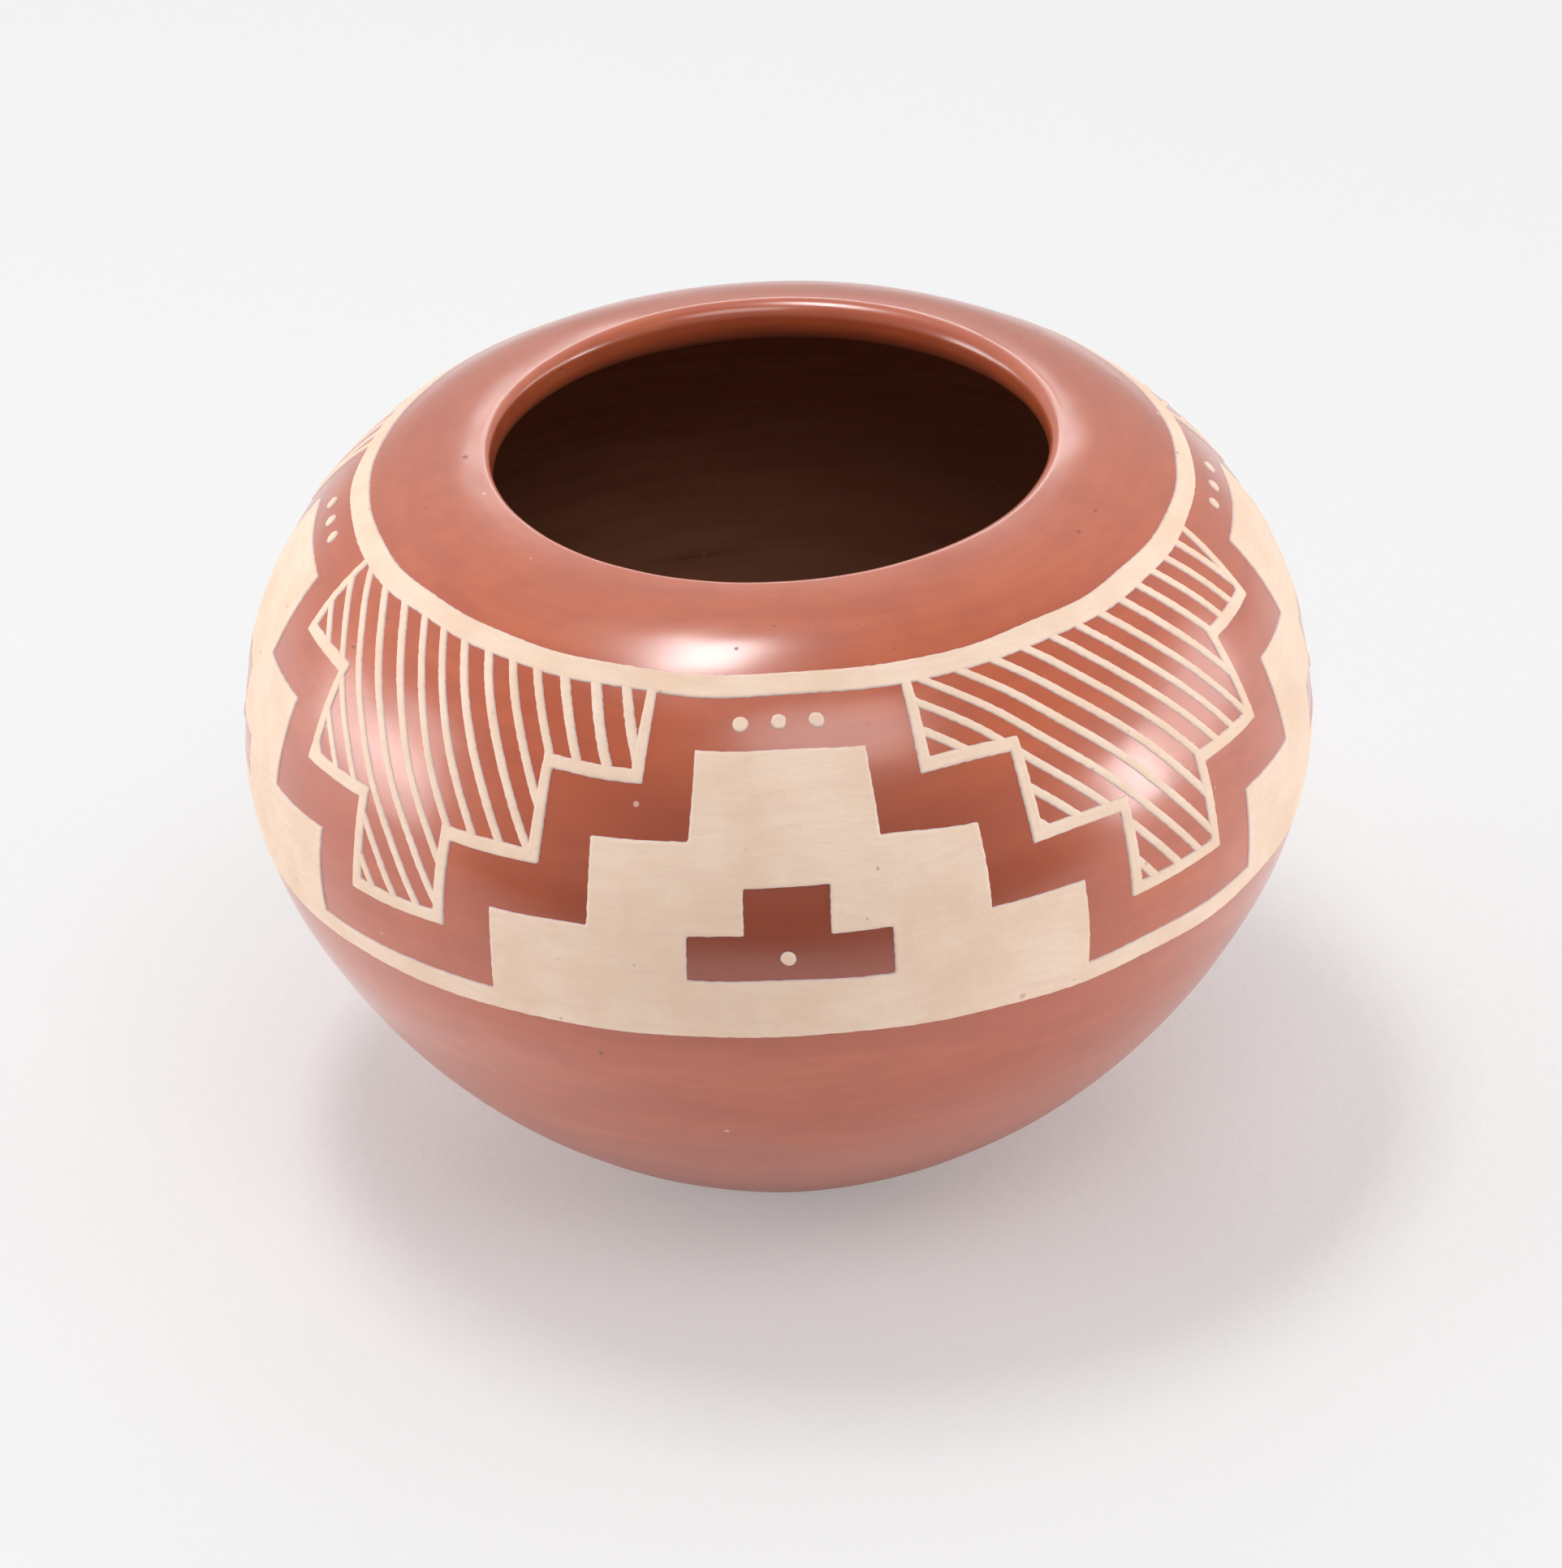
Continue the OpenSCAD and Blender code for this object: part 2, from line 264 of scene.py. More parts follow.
def hand_outside(angle, way):
    """How far the polished surface stands out from the true figure, in millimetres."""
    wander = OVAL_MM * OVAL(angle, way) + DENTS_MM * DENTS(angle, way)
    wander += FACETS_MM * FACETS(angle, way)
    return wander * np.clip((np.asarray(way) - FOOT_WAY) / FOOT_FADE, 0, 1)


def hand_inside(angle, way):
    """The same for the scraped inner face, which is smoothed towards the lip."""
    fading = np.clip((LIP_WAY - np.asarray(way)) / LIP_FADE, 0, 1)
    return OVAL_MM * OVAL(angle, way) + SCRAPES_MM * SCRAPES(angle, way) * fading


all_round = np.linspace(0, 2 * np.pi, 90)[:, None]
all_along = np.linspace(FOOT_WAY, LIP_WAY, 60)
stands_out = hand_outside(all_round, all_along)
print("the hand's waves, mm:", round(stands_out.min(), 2), "to", round(stands_out.max(), 2))

# %% Any point of the jar, with its lip turned over by eye
LIP_DIP, LIP_SHIFT, LIP_BEND_WAY = 0.9, 0.5, 30.0
SOFTEST_ANGLE = math.radians(50)


def on_wall(angle, way, depth=0.0, outside=1.0):
    """Points on the jar, in millimetres, a depth under its polished surface. outside is 1
    where a point follows the polished surface's waves and 0 where it follows the inner
    face's."""
    angle, way = np.broadcast_arrays(np.asarray(angle, float), np.asarray(way, float))
    place, out = line_at(way, 0.5 + 0.5 * np.cos(angle - SOFTEST_ANGLE))
    push = outside * hand_outside(angle, way) + (1 - outside) * hand_inside(angle, way)
    bent = smooth_rise(way, LIP_BEND_WAY, LIP_WAY)
    r = place[..., 0] + (push - depth) * out[..., 0] + bent * LIP_SHIFT * np.cos(angle)
    z = place[..., 1] + (push - depth) * out[..., 1]
    z = z - bent * LIP_DIP * (0.5 + 0.5 * np.cos(angle - FRONT))
    return np.stack([r * np.cos(angle), r * np.sin(angle), np.maximum(z, 0)], axis=-1)


crest_heights = on_wall([FRONT, -FRONT], LIP_WAY)[:, 2]
print("height where the lip begins, front and back, mm:", crest_heights.round(2))

# %% [markdown]
# ## Turning a section into a solid
# Slip coat and clay courses are all rings: a closed outline, carried round the axis. A
# Screw modifier would do it in one go but gives every slice the same outline. Writing the
# points ourselves lets each slice follow the hand's waves. The base is the one outline
# that touches the axis, so its two ends become single points.

# %% Objects, kept numbers, smooth shading and welds
def new_object(name, points, faces):
    """A mesh object from points in millimetres."""
    mesh = bpy.data.meshes.new(name)
    mesh.from_pydata((np.asarray(points) * MM).tolist(), [], faces)
    mesh.validate()
    piece = bpy.data.objects.new(name, mesh)
    bpy.context.scene.collection.objects.link(piece)
    return piece


def keep_numbers(piece, name, values):
    """Writes one number for each point of the mesh, for its finish to read."""
    attribute = piece.data.attributes.new(name, "FLOAT", "POINT")
    attribute.data.foreach_set("value", np.asarray(values, np.float32))


def smooth_to(piece, angle):
    """Shades the mesh smooth, with a hard edge wherever it bends by more than this."""
    piece.data.shade_smooth()
    piece.data.set_sharp_from_angle(angle=math.radians(angle))


def weld(piece, reach_mm, chosen=lambda point: True):
    """Joins the chosen points of a mesh that lie within a reach of each other."""
    mesh = bmesh.new()
    mesh.from_mesh(piece.data)
    picked = [v for v in mesh.verts if chosen(v.co)]
    bmesh.ops.remove_doubles(mesh, verts=picked, dist=reach_mm * MM)
    mesh.to_mesh(piece.data)
    mesh.free()


# %% The lathe
SAME_PLACE_MM = 0.001
ON_AXIS = 1e-6
RING_EDGE = 35


def round_angles(slices):
    """One angle for each slice, as a column."""
    return (np.arange(slices) * 2 * np.pi / slices)[:, None]


def lathe(name, points, ways, open_section=False):
    """Joins slices of points, one slice for each angle, into a ring."""
    slices, count = points.shape[:2]
    index = np.arange(slices * count).reshape(slices, count)
    after = np.roll(index, -1, axis=0)
    here = np.arange(count - 1 if open_section else count)
    there = (here + 1) % count
    quads = np.stack([index[:, here], after[:, here], after[:, there], index[:, there]], -1)
    piece = new_object(name, points.reshape(-1, 3), quads.reshape(-1, 4).tolist())
    keep_numbers(piece, "way", np.tile(ways, slices))
    if open_section:
        weld(piece, SAME_PLACE_MM, lambda point: math.hypot(point.x, point.y) < ON_AXIS)
    smooth_to(piece, RING_EDGE)
    return piece


# %% [markdown]
# ## The red slip coat
# Slip is liquid clay, coloured with iron, wiped on in a few coats and rubbed with a smooth
# stone while it is still damp. It covers the outside, goes over the lip and stops just
# inside. Here it is a real skin: its polished face outside, its back 0.3 mm under that,
# and a thin edge at both ends.

# %% Make the slip coat, with every sixth point on its back
FINE_SLICES = 400
back_ways = np.append(LINE_WAY[:0:-6], LINE_WAY[0])
skin_ways = np.concatenate([LINE_WAY, back_ways])
skin_depths = np.concatenate([np.zeros(len(LINE_WAY)), np.full(len(back_ways), SLIP)])
skin = on_wall(round_angles(FINE_SLICES), skin_ways, skin_depths)
red_slip_coat = lathe("red_slip_coat", skin, skin_ways)
print("red slip:", len(red_slip_coat.data.polygons), "faces")

# %% [markdown]
# ## The clay courses
# Under the slip, and in full view inside the mouth, is the wall itself: coils as thick as
# a finger, each laid inside the edge of the one below, pinched up and scraped. The seams
# climb as they go in, so a course can't slide off the one under it. Each stays a piece of
# its own, and since both sides of a seam are worked out from the same two points, no gap
# opens between them.

# %% Where the seams lie, and the bowl inside
FLOOR, BOWL_ROUND = 6.5, 30.0
PAD_R, RIM_COIL, LAP, COILS = 37.0, 15.0, 5.0, 7
low_centre, low_radius = ARCS[0]
bowl_reach = low_radius - WALL - BOWL_ROUND
bowl_r = low_centre[0] + math.sqrt(bowl_reach ** 2 - (low_centre[1] - FLOOR - BOWL_ROUND) ** 2)
bowl_centre = np.array([bowl_r, FLOOR + BOWL_ROUND])
bowl_turn = math.degrees(math.asin((bowl_r - low_centre[0]) / bowl_reach))
bowl_way = LOW_WAY - math.radians(LOW_TURN - bowl_turn) * low_radius
pad_turn = math.degrees(math.asin((PAD_R - low_centre[0]) / low_radius))
pad_way = LOW_WAY - math.radians(LOW_TURN - pad_turn) * low_radius
seam_ways = np.linspace(pad_way, LIP_WAY - RIM_COIL, COILS + 1)
print("seams, mm along the wall:", seam_ways.round(1))


# %% The seven coils and the rim coil
HIDDEN_STEP, BARE_STEP, RIM_STEP = 1.6, 0.8, 1.2
COIL_SLICES = 300


def stations(start, end, step):
    """Evenly spaced distances from start to end, both included."""
    return np.linspace(start, end, max(2, round(abs(end - start) / step) + 1))


def lay_course(name, outer, inner, slices):
    """A ring of clay: up its outer face, then back down its inner one."""
    ways = np.concatenate([outer, inner])
    depths = np.concatenate([np.full(len(outer), SLIP), np.full(len(inner), WALL)])
    outside = np.concatenate([np.ones(len(outer)), np.zeros(len(inner))])
    return lathe(name, on_wall(round_angles(slices), ways, depths, outside), ways)


clay_pieces = {}
for number in range(1, COILS + 1):
    low, high = seam_ways[number - 1], seam_ways[number]
    outer = stations(low, high, HIDDEN_STEP)
    inner = stations(high + LAP, low + LAP, BARE_STEP)
    clay_pieces[f"coil_{number}"] = lay_course(f"clay_coil_{number}", outer, inner, COIL_SLICES)
outer = np.append(stations(seam_ways[-1], LIP_WAY, RIM_STEP), LINE_WAY[LINE_WAY > LIP_WAY])
inner = stations(LIP_WAY, seam_ways[-1] + LAP, BARE_STEP)
clay_pieces["rim_coil"] = lay_course("clay_rim_coil", outer, inner, FINE_SLICES)
print("courses laid:", list(clay_pieces))

# %% The base pad: under the foot, up to the first seam, and back over the bowl's floor
PAD_SLICES, FLAT_RINGS, BOWL_RINGS = 240, 9, 16
PAD_STEP, BOWL_STEP, FLOOR_STEP = 1.2, 1.0, 1.6
SCRAPE_FADE = 10


def spun(r, z, angles):
    """Points (r, z) carried round the axis, still in slices."""
    r, z, angles = np.broadcast_arrays(r, z, angles)
    return np.stack([r * np.cos(angles), r * np.sin(angles), z], -1)


base_angles = round_angles(PAD_SLICES)
base_outer = stations(FOOT_WAY, seam_ways[0], PAD_STEP)
base_inner = stations(seam_ways[0] + LAP, bowl_way, BOWL_STEP)
under_r = np.linspace(0, FOOT_R, FLAT_RINGS)[:-1]
bowl_turns = np.linspace(bowl_turn, 0, BOWL_RINGS)[1:]
bowl_line = bowl_centre + BOWL_ROUND * outward(bowl_turns)
floor_r = np.append(bowl_line[:, 0], np.linspace(bowl_r, 0, FLAT_RINGS)[1:])
floor_z = np.append(bowl_line[:, 1], np.full(FLAT_RINGS - 1, FLOOR))
floor_ways = bowl_way - np.arange(1, len(floor_r) + 1) * FLOOR_STEP
scraped = hand_inside(base_angles, floor_ways) * np.clip(floor_r / SCRAPE_FADE, 0, 1)
base_points = np.concatenate([
    spun(under_r, 0.0, base_angles),
    on_wall(base_angles, base_outer, SLIP),
    on_wall(base_angles, base_inner, WALL, 0.0),
    spun(floor_r, floor_z - scraped, base_angles),
], axis=1)
under_ways = np.full(len(under_r), FOOT_WAY)
base_ways = np.concatenate([under_ways, base_outer, base_inner, floor_ways])
clay_pieces["base"] = lathe("clay_base", base_points, base_ways, open_section=True)
print("clay faces:", {k: len(p.data.polygons) for k, p in clay_pieces.items()})

# %% [markdown]
# ## Painting as a distance
# The cream paint is a thick slip laid on with a chewed yucca brush, so it stands up from
# the red by a quarter of a millimetre, and its edges are steep but never straight. It
# could be a bump in the red's material. It is made as real, closed pieces instead, because
# on the jar it is one: it catches the light, and in places you could lift it with a nail.
#
# Each figure is described by one function: how far a place lies inside the figure's edge.
# Figures join with a maximum and are cut with a minimum, the hand's unsteadiness is a
# small change to the place that is asked about, and the paint's height is a curve over the
# answer. A fine net over the band is then cut along the edge itself, where the distance
# is nought, and again along two lines inside it, so that the slope of the edge is even.

# %% Cutting a net of triangles along a level
def cut_along(level, coords, values, triangles):
    """Splits each triangle that crosses the level, with new points exactly on it."""
    side = values > level
    crossing = side[triangles].any(1) & ~side[triangles].all(1)
    whole, cut = triangles[~crossing], triangles[crossing]
    alone = side[cut].sum(1) == 1
    odd = np.where(alone[:, None], side[cut], ~side[cut])
    first = odd.argmax(1)
    rows = np.arange(len(cut))
    a, b, c = (cut[rows, (first + k) % 3] for k in range(3))
    pairs = np.sort(np.stack([np.stack([a, b], -1), np.stack([a, c], -1)], 1), -1)
    keys, place = np.unique(pairs.reshape(-1, 2), axis=0, return_inverse=True)
    place = place.reshape(-1, 2) + len(values)
    low, high = keys[:, 0], keys[:, 1]
    share = (level - values[low]) / (values[high] - values[low])
    new_coords = coords[low] + share[:, None] * (coords[high] - coords[low])
    m, n = place[:, 0], place[:, 1]
    made = np.concatenate([np.stack(t, -1) for t in ((a, m, n), (m, b, c), (m, c, n))])
    coords = np.vstack([coords, new_coords])
    values = np.concatenate([values, np.full(len(keys), level, float)])
    return coords, values, np.concatenate([whole, made])


one_triangle = np.array([[0.0, 0.0], [1.0, 0.0], [0.0, 1.0]])
halved = cut_along(0.5, one_triangle, np.array([0.0, 1.0, 0.0]), np.array([[0, 1, 2]]))
print("one triangle, cut along a level, becomes", len(halved[2]), "triangles")

# %% [markdown]
# ## From a figure to a piece of paint
# The net's points are (angle, way) pairs. Only at the end are they lifted onto the wall,
# at the wall's own height plus the paint's. A second sheet just under the surface closes
# the piece, so that it is a solid and not a film.

# %% The height of the paint, from its edge inwards
PAINT = 0.25
RISE_REACH, RISE_POWER = 0.09, 1.3
BEAD, BEAD_PLACE, BEAD_WIDTH = 0.16, 0.42, 0.22
PLAIN_SHARE, RIDGE_SHARE, POOL_SHARE, BRUSH_START = 0.8, 0.045, 0.05, 0.5
RIDGES = waves(seed=31, count=30, turns=(30, 90), lengths=(0.7, 1.6))
POOLS = waves(seed=32, count=24, turns=(12, 60), lengths=(4, 12))


def paint_height(distance, angle, way, thick):
    """The paint's height above the red: a steep edge, a faint bead behind it, brush ridges."""
    rise = 1 - np.exp(-(np.maximum(distance, 0) / RISE_REACH) ** RISE_POWER)
    bead = BEAD * np.exp(-((distance - BEAD_PLACE) / BEAD_WIDTH) ** 2)
    brush = RIDGE_SHARE * RIDGES(angle, way) + POOL_SHARE * POOLS(angle, way)
    return thick * rise * (PLAIN_SHARE + bead + brush * np.clip(distance / BRUSH_START, 0, 1))


edge_steps = np.array([0.05, 0.1, 0.4, 2.0])
print("paint height at", edge_steps, "mm inside its edge:",
      paint_height(edge_steps, FRONT, 0.0, PAINT).round(3))

# %% Laying a figure on the wall, with room round it for the hand's drift
NET, FEWEST_CELLS = 0.33, 4
EDGE_LEVELS = (0.0, 0.07, 0.2)
LEVEL_ROOM = 0.012
DRIFT_ROOM = 1.8


def lay_paint(name, angles, ways, distance, thick=PAINT, net=NET):
    """A closed piece of paint inside a box of angles (radians) and ways (mm)."""
    ways = (ways[0] - DRIFT_ROOM, ways[1] + DRIFT_ROOM)
    columns = max(FEWEST_CELLS, math.ceil((angles[1] - angles[0]) * BODY_R / net))
    rows = max(FEWEST_CELLS, math.ceil((ways[1] - ways[0]) / net))
    angle, way = np.meshgrid(np.linspace(*angles, columns + 1), np.linspace(*ways, rows + 1),
                             indexing="ij")
    values = distance(angle, way).ravel()
    for level in EDGE_LEVELS:
        near = np.abs(values - level) < LEVEL_ROOM
        values[near] = level + LEVEL_ROOM
    coords = np.stack([angle.ravel(), way.ravel()], -1)
    index = np.arange(coords.shape[0]).reshape(columns + 1, rows + 1)
    corners = [index[:-1, :-1], index[1:, :-1], index[1:, 1:], index[:-1, 1:]]
    p, q, s, t = (x.ravel() for x in corners)
    triangles = np.concatenate([np.stack([p, q, s], -1), np.stack([p, s, t], -1)])
    triangles = triangles[(values[triangles] > 0).any(1)]
    for level in EDGE_LEVELS:
        coords, values, triangles = cut_along(level, coords, values, triangles)
    triangles = triangles[values[triangles].mean(1) > 0]
    used, triangles = np.unique(triangles, return_inverse=True)
    triangles = triangles.reshape(-1, 3)
    coords, values = coords[used], values[used]
    return lift_paint(name, coords, values, triangles, thick)


# %% Lifting the net onto the wall, and closing it underneath
SUNK, RIM_SUNK = 0.03, 0.4
AT_EDGE = 1e-9
PAINT_EDGE = 60


def lift_paint(name, coords, values, triangles, thick):
    """Carries the flat net onto the wall, and closes it underneath."""
    angle, way = coords[:, 0], coords[:, 1]
    rim = values <= AT_EDGE
    height = np.where(rim, -RIM_SUNK * SUNK, paint_height(values, angle, way, thick))
    count = len(values)
    below = np.where(rim, np.arange(count), np.arange(count) + count)
    points = np.vstack([on_wall(angle, way, -height), on_wall(angle, way, SUNK)])
    faces = np.vstack([triangles, below[triangles][:, ::-1]])
    first, second, third = faces.T
    faces = faces[(first != second) & (second != third) & (third != first)]
    used, faces = np.unique(faces, return_inverse=True)
    faces = faces.reshape(-1, 3)
    piece = new_object(name, points[used], faces.tolist())
    keep_numbers(piece, "edge", np.concatenate([values, values])[used])
    keep_numbers(piece, "way", np.concatenate([way, way])[used])
    smooth_to(piece, PAINT_EDGE)
    return piece


# %% [markdown]
# ## The figures of the band
# The band is a common one on pueblo jars: two framing lines, solid cloud terraces that
# stand on the lower one, terraces of falling rain that hang from the upper one, and an
# even red channel between them. All of it is built from one shape, a nest of boxes, each
# narrower and taller than the last.

# %% The band's sizes, in millimetres
BAND_DOWN, BAND_UP, FRAME_LINE = 8.3, 41.0, 3.2
REPEATS = 4
CHANNEL = 7.0
TERRACE_SHARE, CROWN_SHARE = 0.36, 0.115
OUTLINE, STROKE, STROKE_PITCH = 1.8, 1.2, 3.3
STROKE_LEAN = math.radians(38)
DOT, DOT_PITCH = 2.0, 4.6
WINDOW_H, WINDOW_W, WINDOW_TOP_W = 12.5, 26.0, 11.0
FIELD_LOW, FIELD_HIGH = FRAME_LINE - BAND_DOWN, BAND_UP - FRAME_LINE
STEP_H = (FIELD_HIGH - FIELD_LOW - CHANNEL) / 3
REPEAT = 2 * math.pi / REPEATS
STANDING = [REPEAT * (TERRACE_SHARE + (CROWN_SHARE - TERRACE_SHARE) * k / 2) for k in range(3)]
HANGING = [REPEAT / 2 - STANDING[k] - CHANNEL / BODY_R for k in (2, 1, 0)]
OVERLAP = 1.0
print("each step's height, mm:", round(STEP_H, 2))
print("half widths, degrees:", np.degrees(STANDING).round(1), np.degrees(HANGING).round(1))


# %% Boxes, discs and nests of boxes
def radius_at(way):
    """The wall's distance from the axis, which turns an angle into millimetres."""
    return line_at(way)[0][..., 0]


def box(angle, way, half, low, high):
    """Distance inside a box that is 2 x half (radians) wide, between two ways."""
    across = (half - np.abs(angle)) * radius_at(way)
    return np.minimum(across, np.minimum(way - low, high - way))


def disc(angle, way, centre_way):
    """Distance inside a round dot."""
    return DOT / 2 - np.hypot(angle * radius_at(way), way - centre_way)


def nest(halves, root, ends):
    """Nested boxes from a root line, each as far as its own end."""

    def figure(angle, way):
        boxes = [box(angle, way, h, min(root, e), max(root, e)) for h, e in zip(halves, ends)]
        return np.maximum.reduce(boxes)

    return figure


print("inside a 20 mm box, from its middle to its side, mm:",
      box(np.array([0, 10 / BODY_R]), 0.0, 10 / BODY_R, -10, 10).round(2))

# %% [markdown]
# ## A hand that isn't quite steady
# A painter turns the jar on the lap with one hand and pulls the brush with the other, so a
# line wanders a little, and where it closes it is a millimetre off its true height. The
# points of the finished paint could be moved, but then its edge would stretch. Asking the
# figure about a place that is a little off moves the edge and keeps its slope.

# %% Drift, shake and a ragged edge
SHAKE_ROUND = waves(seed=41, count=12, turns=(5, 22), lengths=(14, 40))
SHAKE_WAY = waves(seed=42, count=12, turns=(5, 22), lengths=(14, 40))
RAGGED = waves(seed=43, count=40, turns=(60, 260), lengths=(0.9, 3.0))
SHAKE_MM, RAGGED_MM = 0.12, 0.02
LOWER_OFF, LOWER_WAVE = 0.2, 1.0
UPPER_OFF, UPPER_RIGHT, UPPER_BACK = 0.5, 0.7, 0.9


def drift(angle, way):
    """How far a framing line was drawn off its true height, and what lies between them."""
    lower = LOWER_OFF + LOWER_WAVE * np.cos(2 * (angle - FRONT))
    upper = -UPPER_OFF - UPPER_RIGHT * np.cos(angle) - UPPER_BACK * np.sin(angle)
    return lower + (upper - lower) * smooth_rise(way, -BAND_DOWN, BAND_UP)


def by_hand(figure, turned=0.0):
    """The same figure as an unsteady hand paints it, turned to its place round the jar."""

    def shaken(angle, way):
        slip_round = SHAKE_MM * SHAKE_ROUND(angle, way) / BODY_R
        slip_way = SHAKE_MM * SHAKE_WAY(angle, way)
        ragged = RAGGED_MM * RAGGED(angle, way)
        return figure(angle + slip_round - turned, way + slip_way - drift(angle, way)) + ragged

    return shaken


print("drift in front, mm:", drift(FRONT, [-BAND_DOWN, BAND_UP]).round(2))

# %% The framing lines
SEAM_REACH = 0.0001
END_ROOM = 0.8
full_round = (FRONT - math.pi, FRONT + math.pi)
paint_pieces = {}


def framing_line(name, low):
    """A framing line all the way round, with its two ends welded at the back."""
    line = by_hand(lambda angle, way: np.minimum(way - low, low + FRAME_LINE - way))
    piece = lay_paint(name, full_round, (low - END_ROOM, low + FRAME_LINE + END_ROOM), line)
    weld(piece, SEAM_REACH)
    return [piece]


paint_pieces["lower_frame_line"] = framing_line("paint_lower_line", -BAND_DOWN)
paint_pieces["upper_frame_line"] = framing_line("paint_upper_line", BAND_UP - FRAME_LINE)
print("a framing line has", len(paint_pieces["lower_frame_line"][0].data.polygons), "faces")

# %% [markdown]
# ## Standing and hanging terraces
# A standing terrace is the largest of three nested boxes. A stepped window is taken out of
# it, so the red shows through as it does when a painter works round it. A hanging
# terrace is an outline: the outer nest, less the same nest drawn in by the line's width.

# %% One round dot
DOT_ROOM, DOT_NET = 2, 0.2


def lay_dot(name, spot, side_room, way):
    """A dot at one place, with room round it on its net."""
    angles = (spot - side_room, spot + side_room)
    dot = by_hand(lambda a, w: disc(a, w, way), spot)
    return lay_paint(name, angles, (way - DOT_ROOM, way + DOT_ROOM), dot, net=DOT_NET)


# %% The four standing terraces, each with a dot in its window
SIDE_ROOM, ROOT_ROOM, WINDOW_SIDE_ROOM = 0.02, 0.6, 0.03
window_low = FIELD_LOW + (STEP_H * 2 - WINDOW_H) / 2
window_mid = window_low + WINDOW_H / 2
stand_outer = nest(STANDING, FIELD_LOW - OVERLAP, [FIELD_LOW + STEP_H * k for k in (1, 2, 3)])


def standing_terrace(angle, way):
    """Distance inside the solid figure, and outside its window."""
    lower = box(angle, way, WINDOW_W / BODY_R / 2, window_low, window_mid)
    upper = box(angle, way, WINDOW_TOP_W / BODY_R / 2, window_low, window_low + WINDOW_H)
    return np.minimum(stand_outer(angle, way), -np.maximum(lower, upper))


stand_ways = (FIELD_LOW - OVERLAP - ROOT_ROOM, FIELD_LOW + STEP_H * 3 + END_ROOM)
window_way = (window_low + window_mid) / 2
stand_middles = [FRONT + number * REPEAT for number in range(REPEATS)]
paint_pieces["standing_terraces"] = []
paint_pieces["window_dots"] = []
for number, middle in enumerate(stand_middles, start=1):
    reach = STANDING[0] + SIDE_ROOM
    paint_pieces["standing_terraces"].append(lay_paint(
        f"paint_standing_terrace_{number}", (middle - reach, middle + reach), stand_ways,
        by_hand(standing_terrace, middle)))
    paint_pieces["window_dots"].append(lay_dot(
        f"paint_window_dot_{number}", middle, WINDOW_SIDE_ROOM, window_way))
print("a standing terrace is", round(STANDING[0] * 2 * BODY_R, 1), "mm wide at its foot")

# %% The dots over each terrace
CLOUD_SIDE_ROOM = 0.04
cloud_way = FIELD_HIGH - CHANNEL / 2
dot_step = DOT_PITCH / radius_at(FIELD_HIGH)
spots = [middle + place * dot_step for middle in stand_middles for place in (-1, 0, 1)]
paint_pieces["cloud_dots"] = [
    lay_dot(f"paint_cloud_dot_{number}", spot, CLOUD_SIDE_ROOM, cloud_way)
    for number, spot in enumerate(spots, start=1)
]
print("dots:", len(paint_pieces["window_dots"]), "in windows,", len(spots), "over terraces")

# %% The four hanging terraces
hang_ends = [FIELD_HIGH - STEP_H * k for k in (1, 2, 3)]
hang_outer = nest(HANGING, FIELD_HIGH + OVERLAP, hang_ends)
HATCHED = [half - OUTLINE / BODY_R for half in HANGING]
hatch_ends = [end + OUTLINE for end in hang_ends]
hang_inner = nest(HATCHED, FIELD_HIGH + 3 * OVERLAP, hatch_ends)
hang_ways = (hang_ends[2] - END_ROOM, FIELD_HIGH + OVERLAP + ROOT_ROOM)


def hanging_terrace(angle, way):
    """Distance inside the outline of the figure."""
    return np.minimum(hang_outer(angle, way), -hang_inner(angle, way))


hang_middles = [FRONT + (number + 0.5) * REPEAT for number in range(REPEATS)]
paint_pieces["hanging_terraces"] = []
for number, middle in enumerate(hang_middles, start=1):
    reach = HANGING[0] + SIDE_ROOM
    paint_pieces["hanging_terraces"].append(lay_paint(
        f"paint_hanging_terrace_{number}", (middle - reach, middle + reach), hang_ways,
        by_hand(hanging_terrace, middle)))
print("a hanging terrace is", round(HANGING[2] * 2 * BODY_R, 1), "mm wide at its end")

# %% [markdown]
# ## Falling rain
# Slanted strokes fill the hanging terraces. The frame cuts them with flat, parallel slabs
# that look straight at the middle of the figure, so the same slabs are measured here: a
# place's distance across the slabs, folded back to the nearest stroke.

# %% The hatching strokes
RAIN_SHARE = 0.85
INTO_OUTLINE = 0.5
RAIN_SIDE_ROOM, RAIN_END_ROOM = 0.03, 1.2
rain_way = (FIELD_LOW + FIELD_HIGH) / 2
rain_place = line_at(rain_way)[0]
rain_up = along(turn_at(rain_way))
rain_inner = nest([h + INTO_OUTLINE / BODY_R for h in HATCHED], FIELD_HIGH + OVERLAP,
                  [end - INTO_OUTLINE for end in hatch_ends])
first_stroke = HATCHED[0] * rain_place[0] * 2


def across_strokes(angle, way):
    """How far a place lies across the slanted strokes, from the first of them."""
    place = line_at(way)[0]
    sideways = place[..., 0] * np.sin(angle)
    upwards = (place[..., 0] * np.cos(angle) - rain_place[0]) * rain_up[0]
    upwards = upwards + (place[..., 1] - rain_place[1]) * rain_up[1]
    return sideways * math.cos(STROKE_LEAN) + upwards * math.sin(STROKE_LEAN) + first_stroke


def rain(angle, way):
    """Distance inside the nearest stroke, and inside the terrace."""
    from_middle = (across_strokes(angle, way) + STROKE_PITCH / 2) % STROKE_PITCH
    stroke = STROKE / 2 - np.abs(from_middle - STROKE_PITCH / 2)
    return np.minimum(stroke, rain_inner(angle, way))


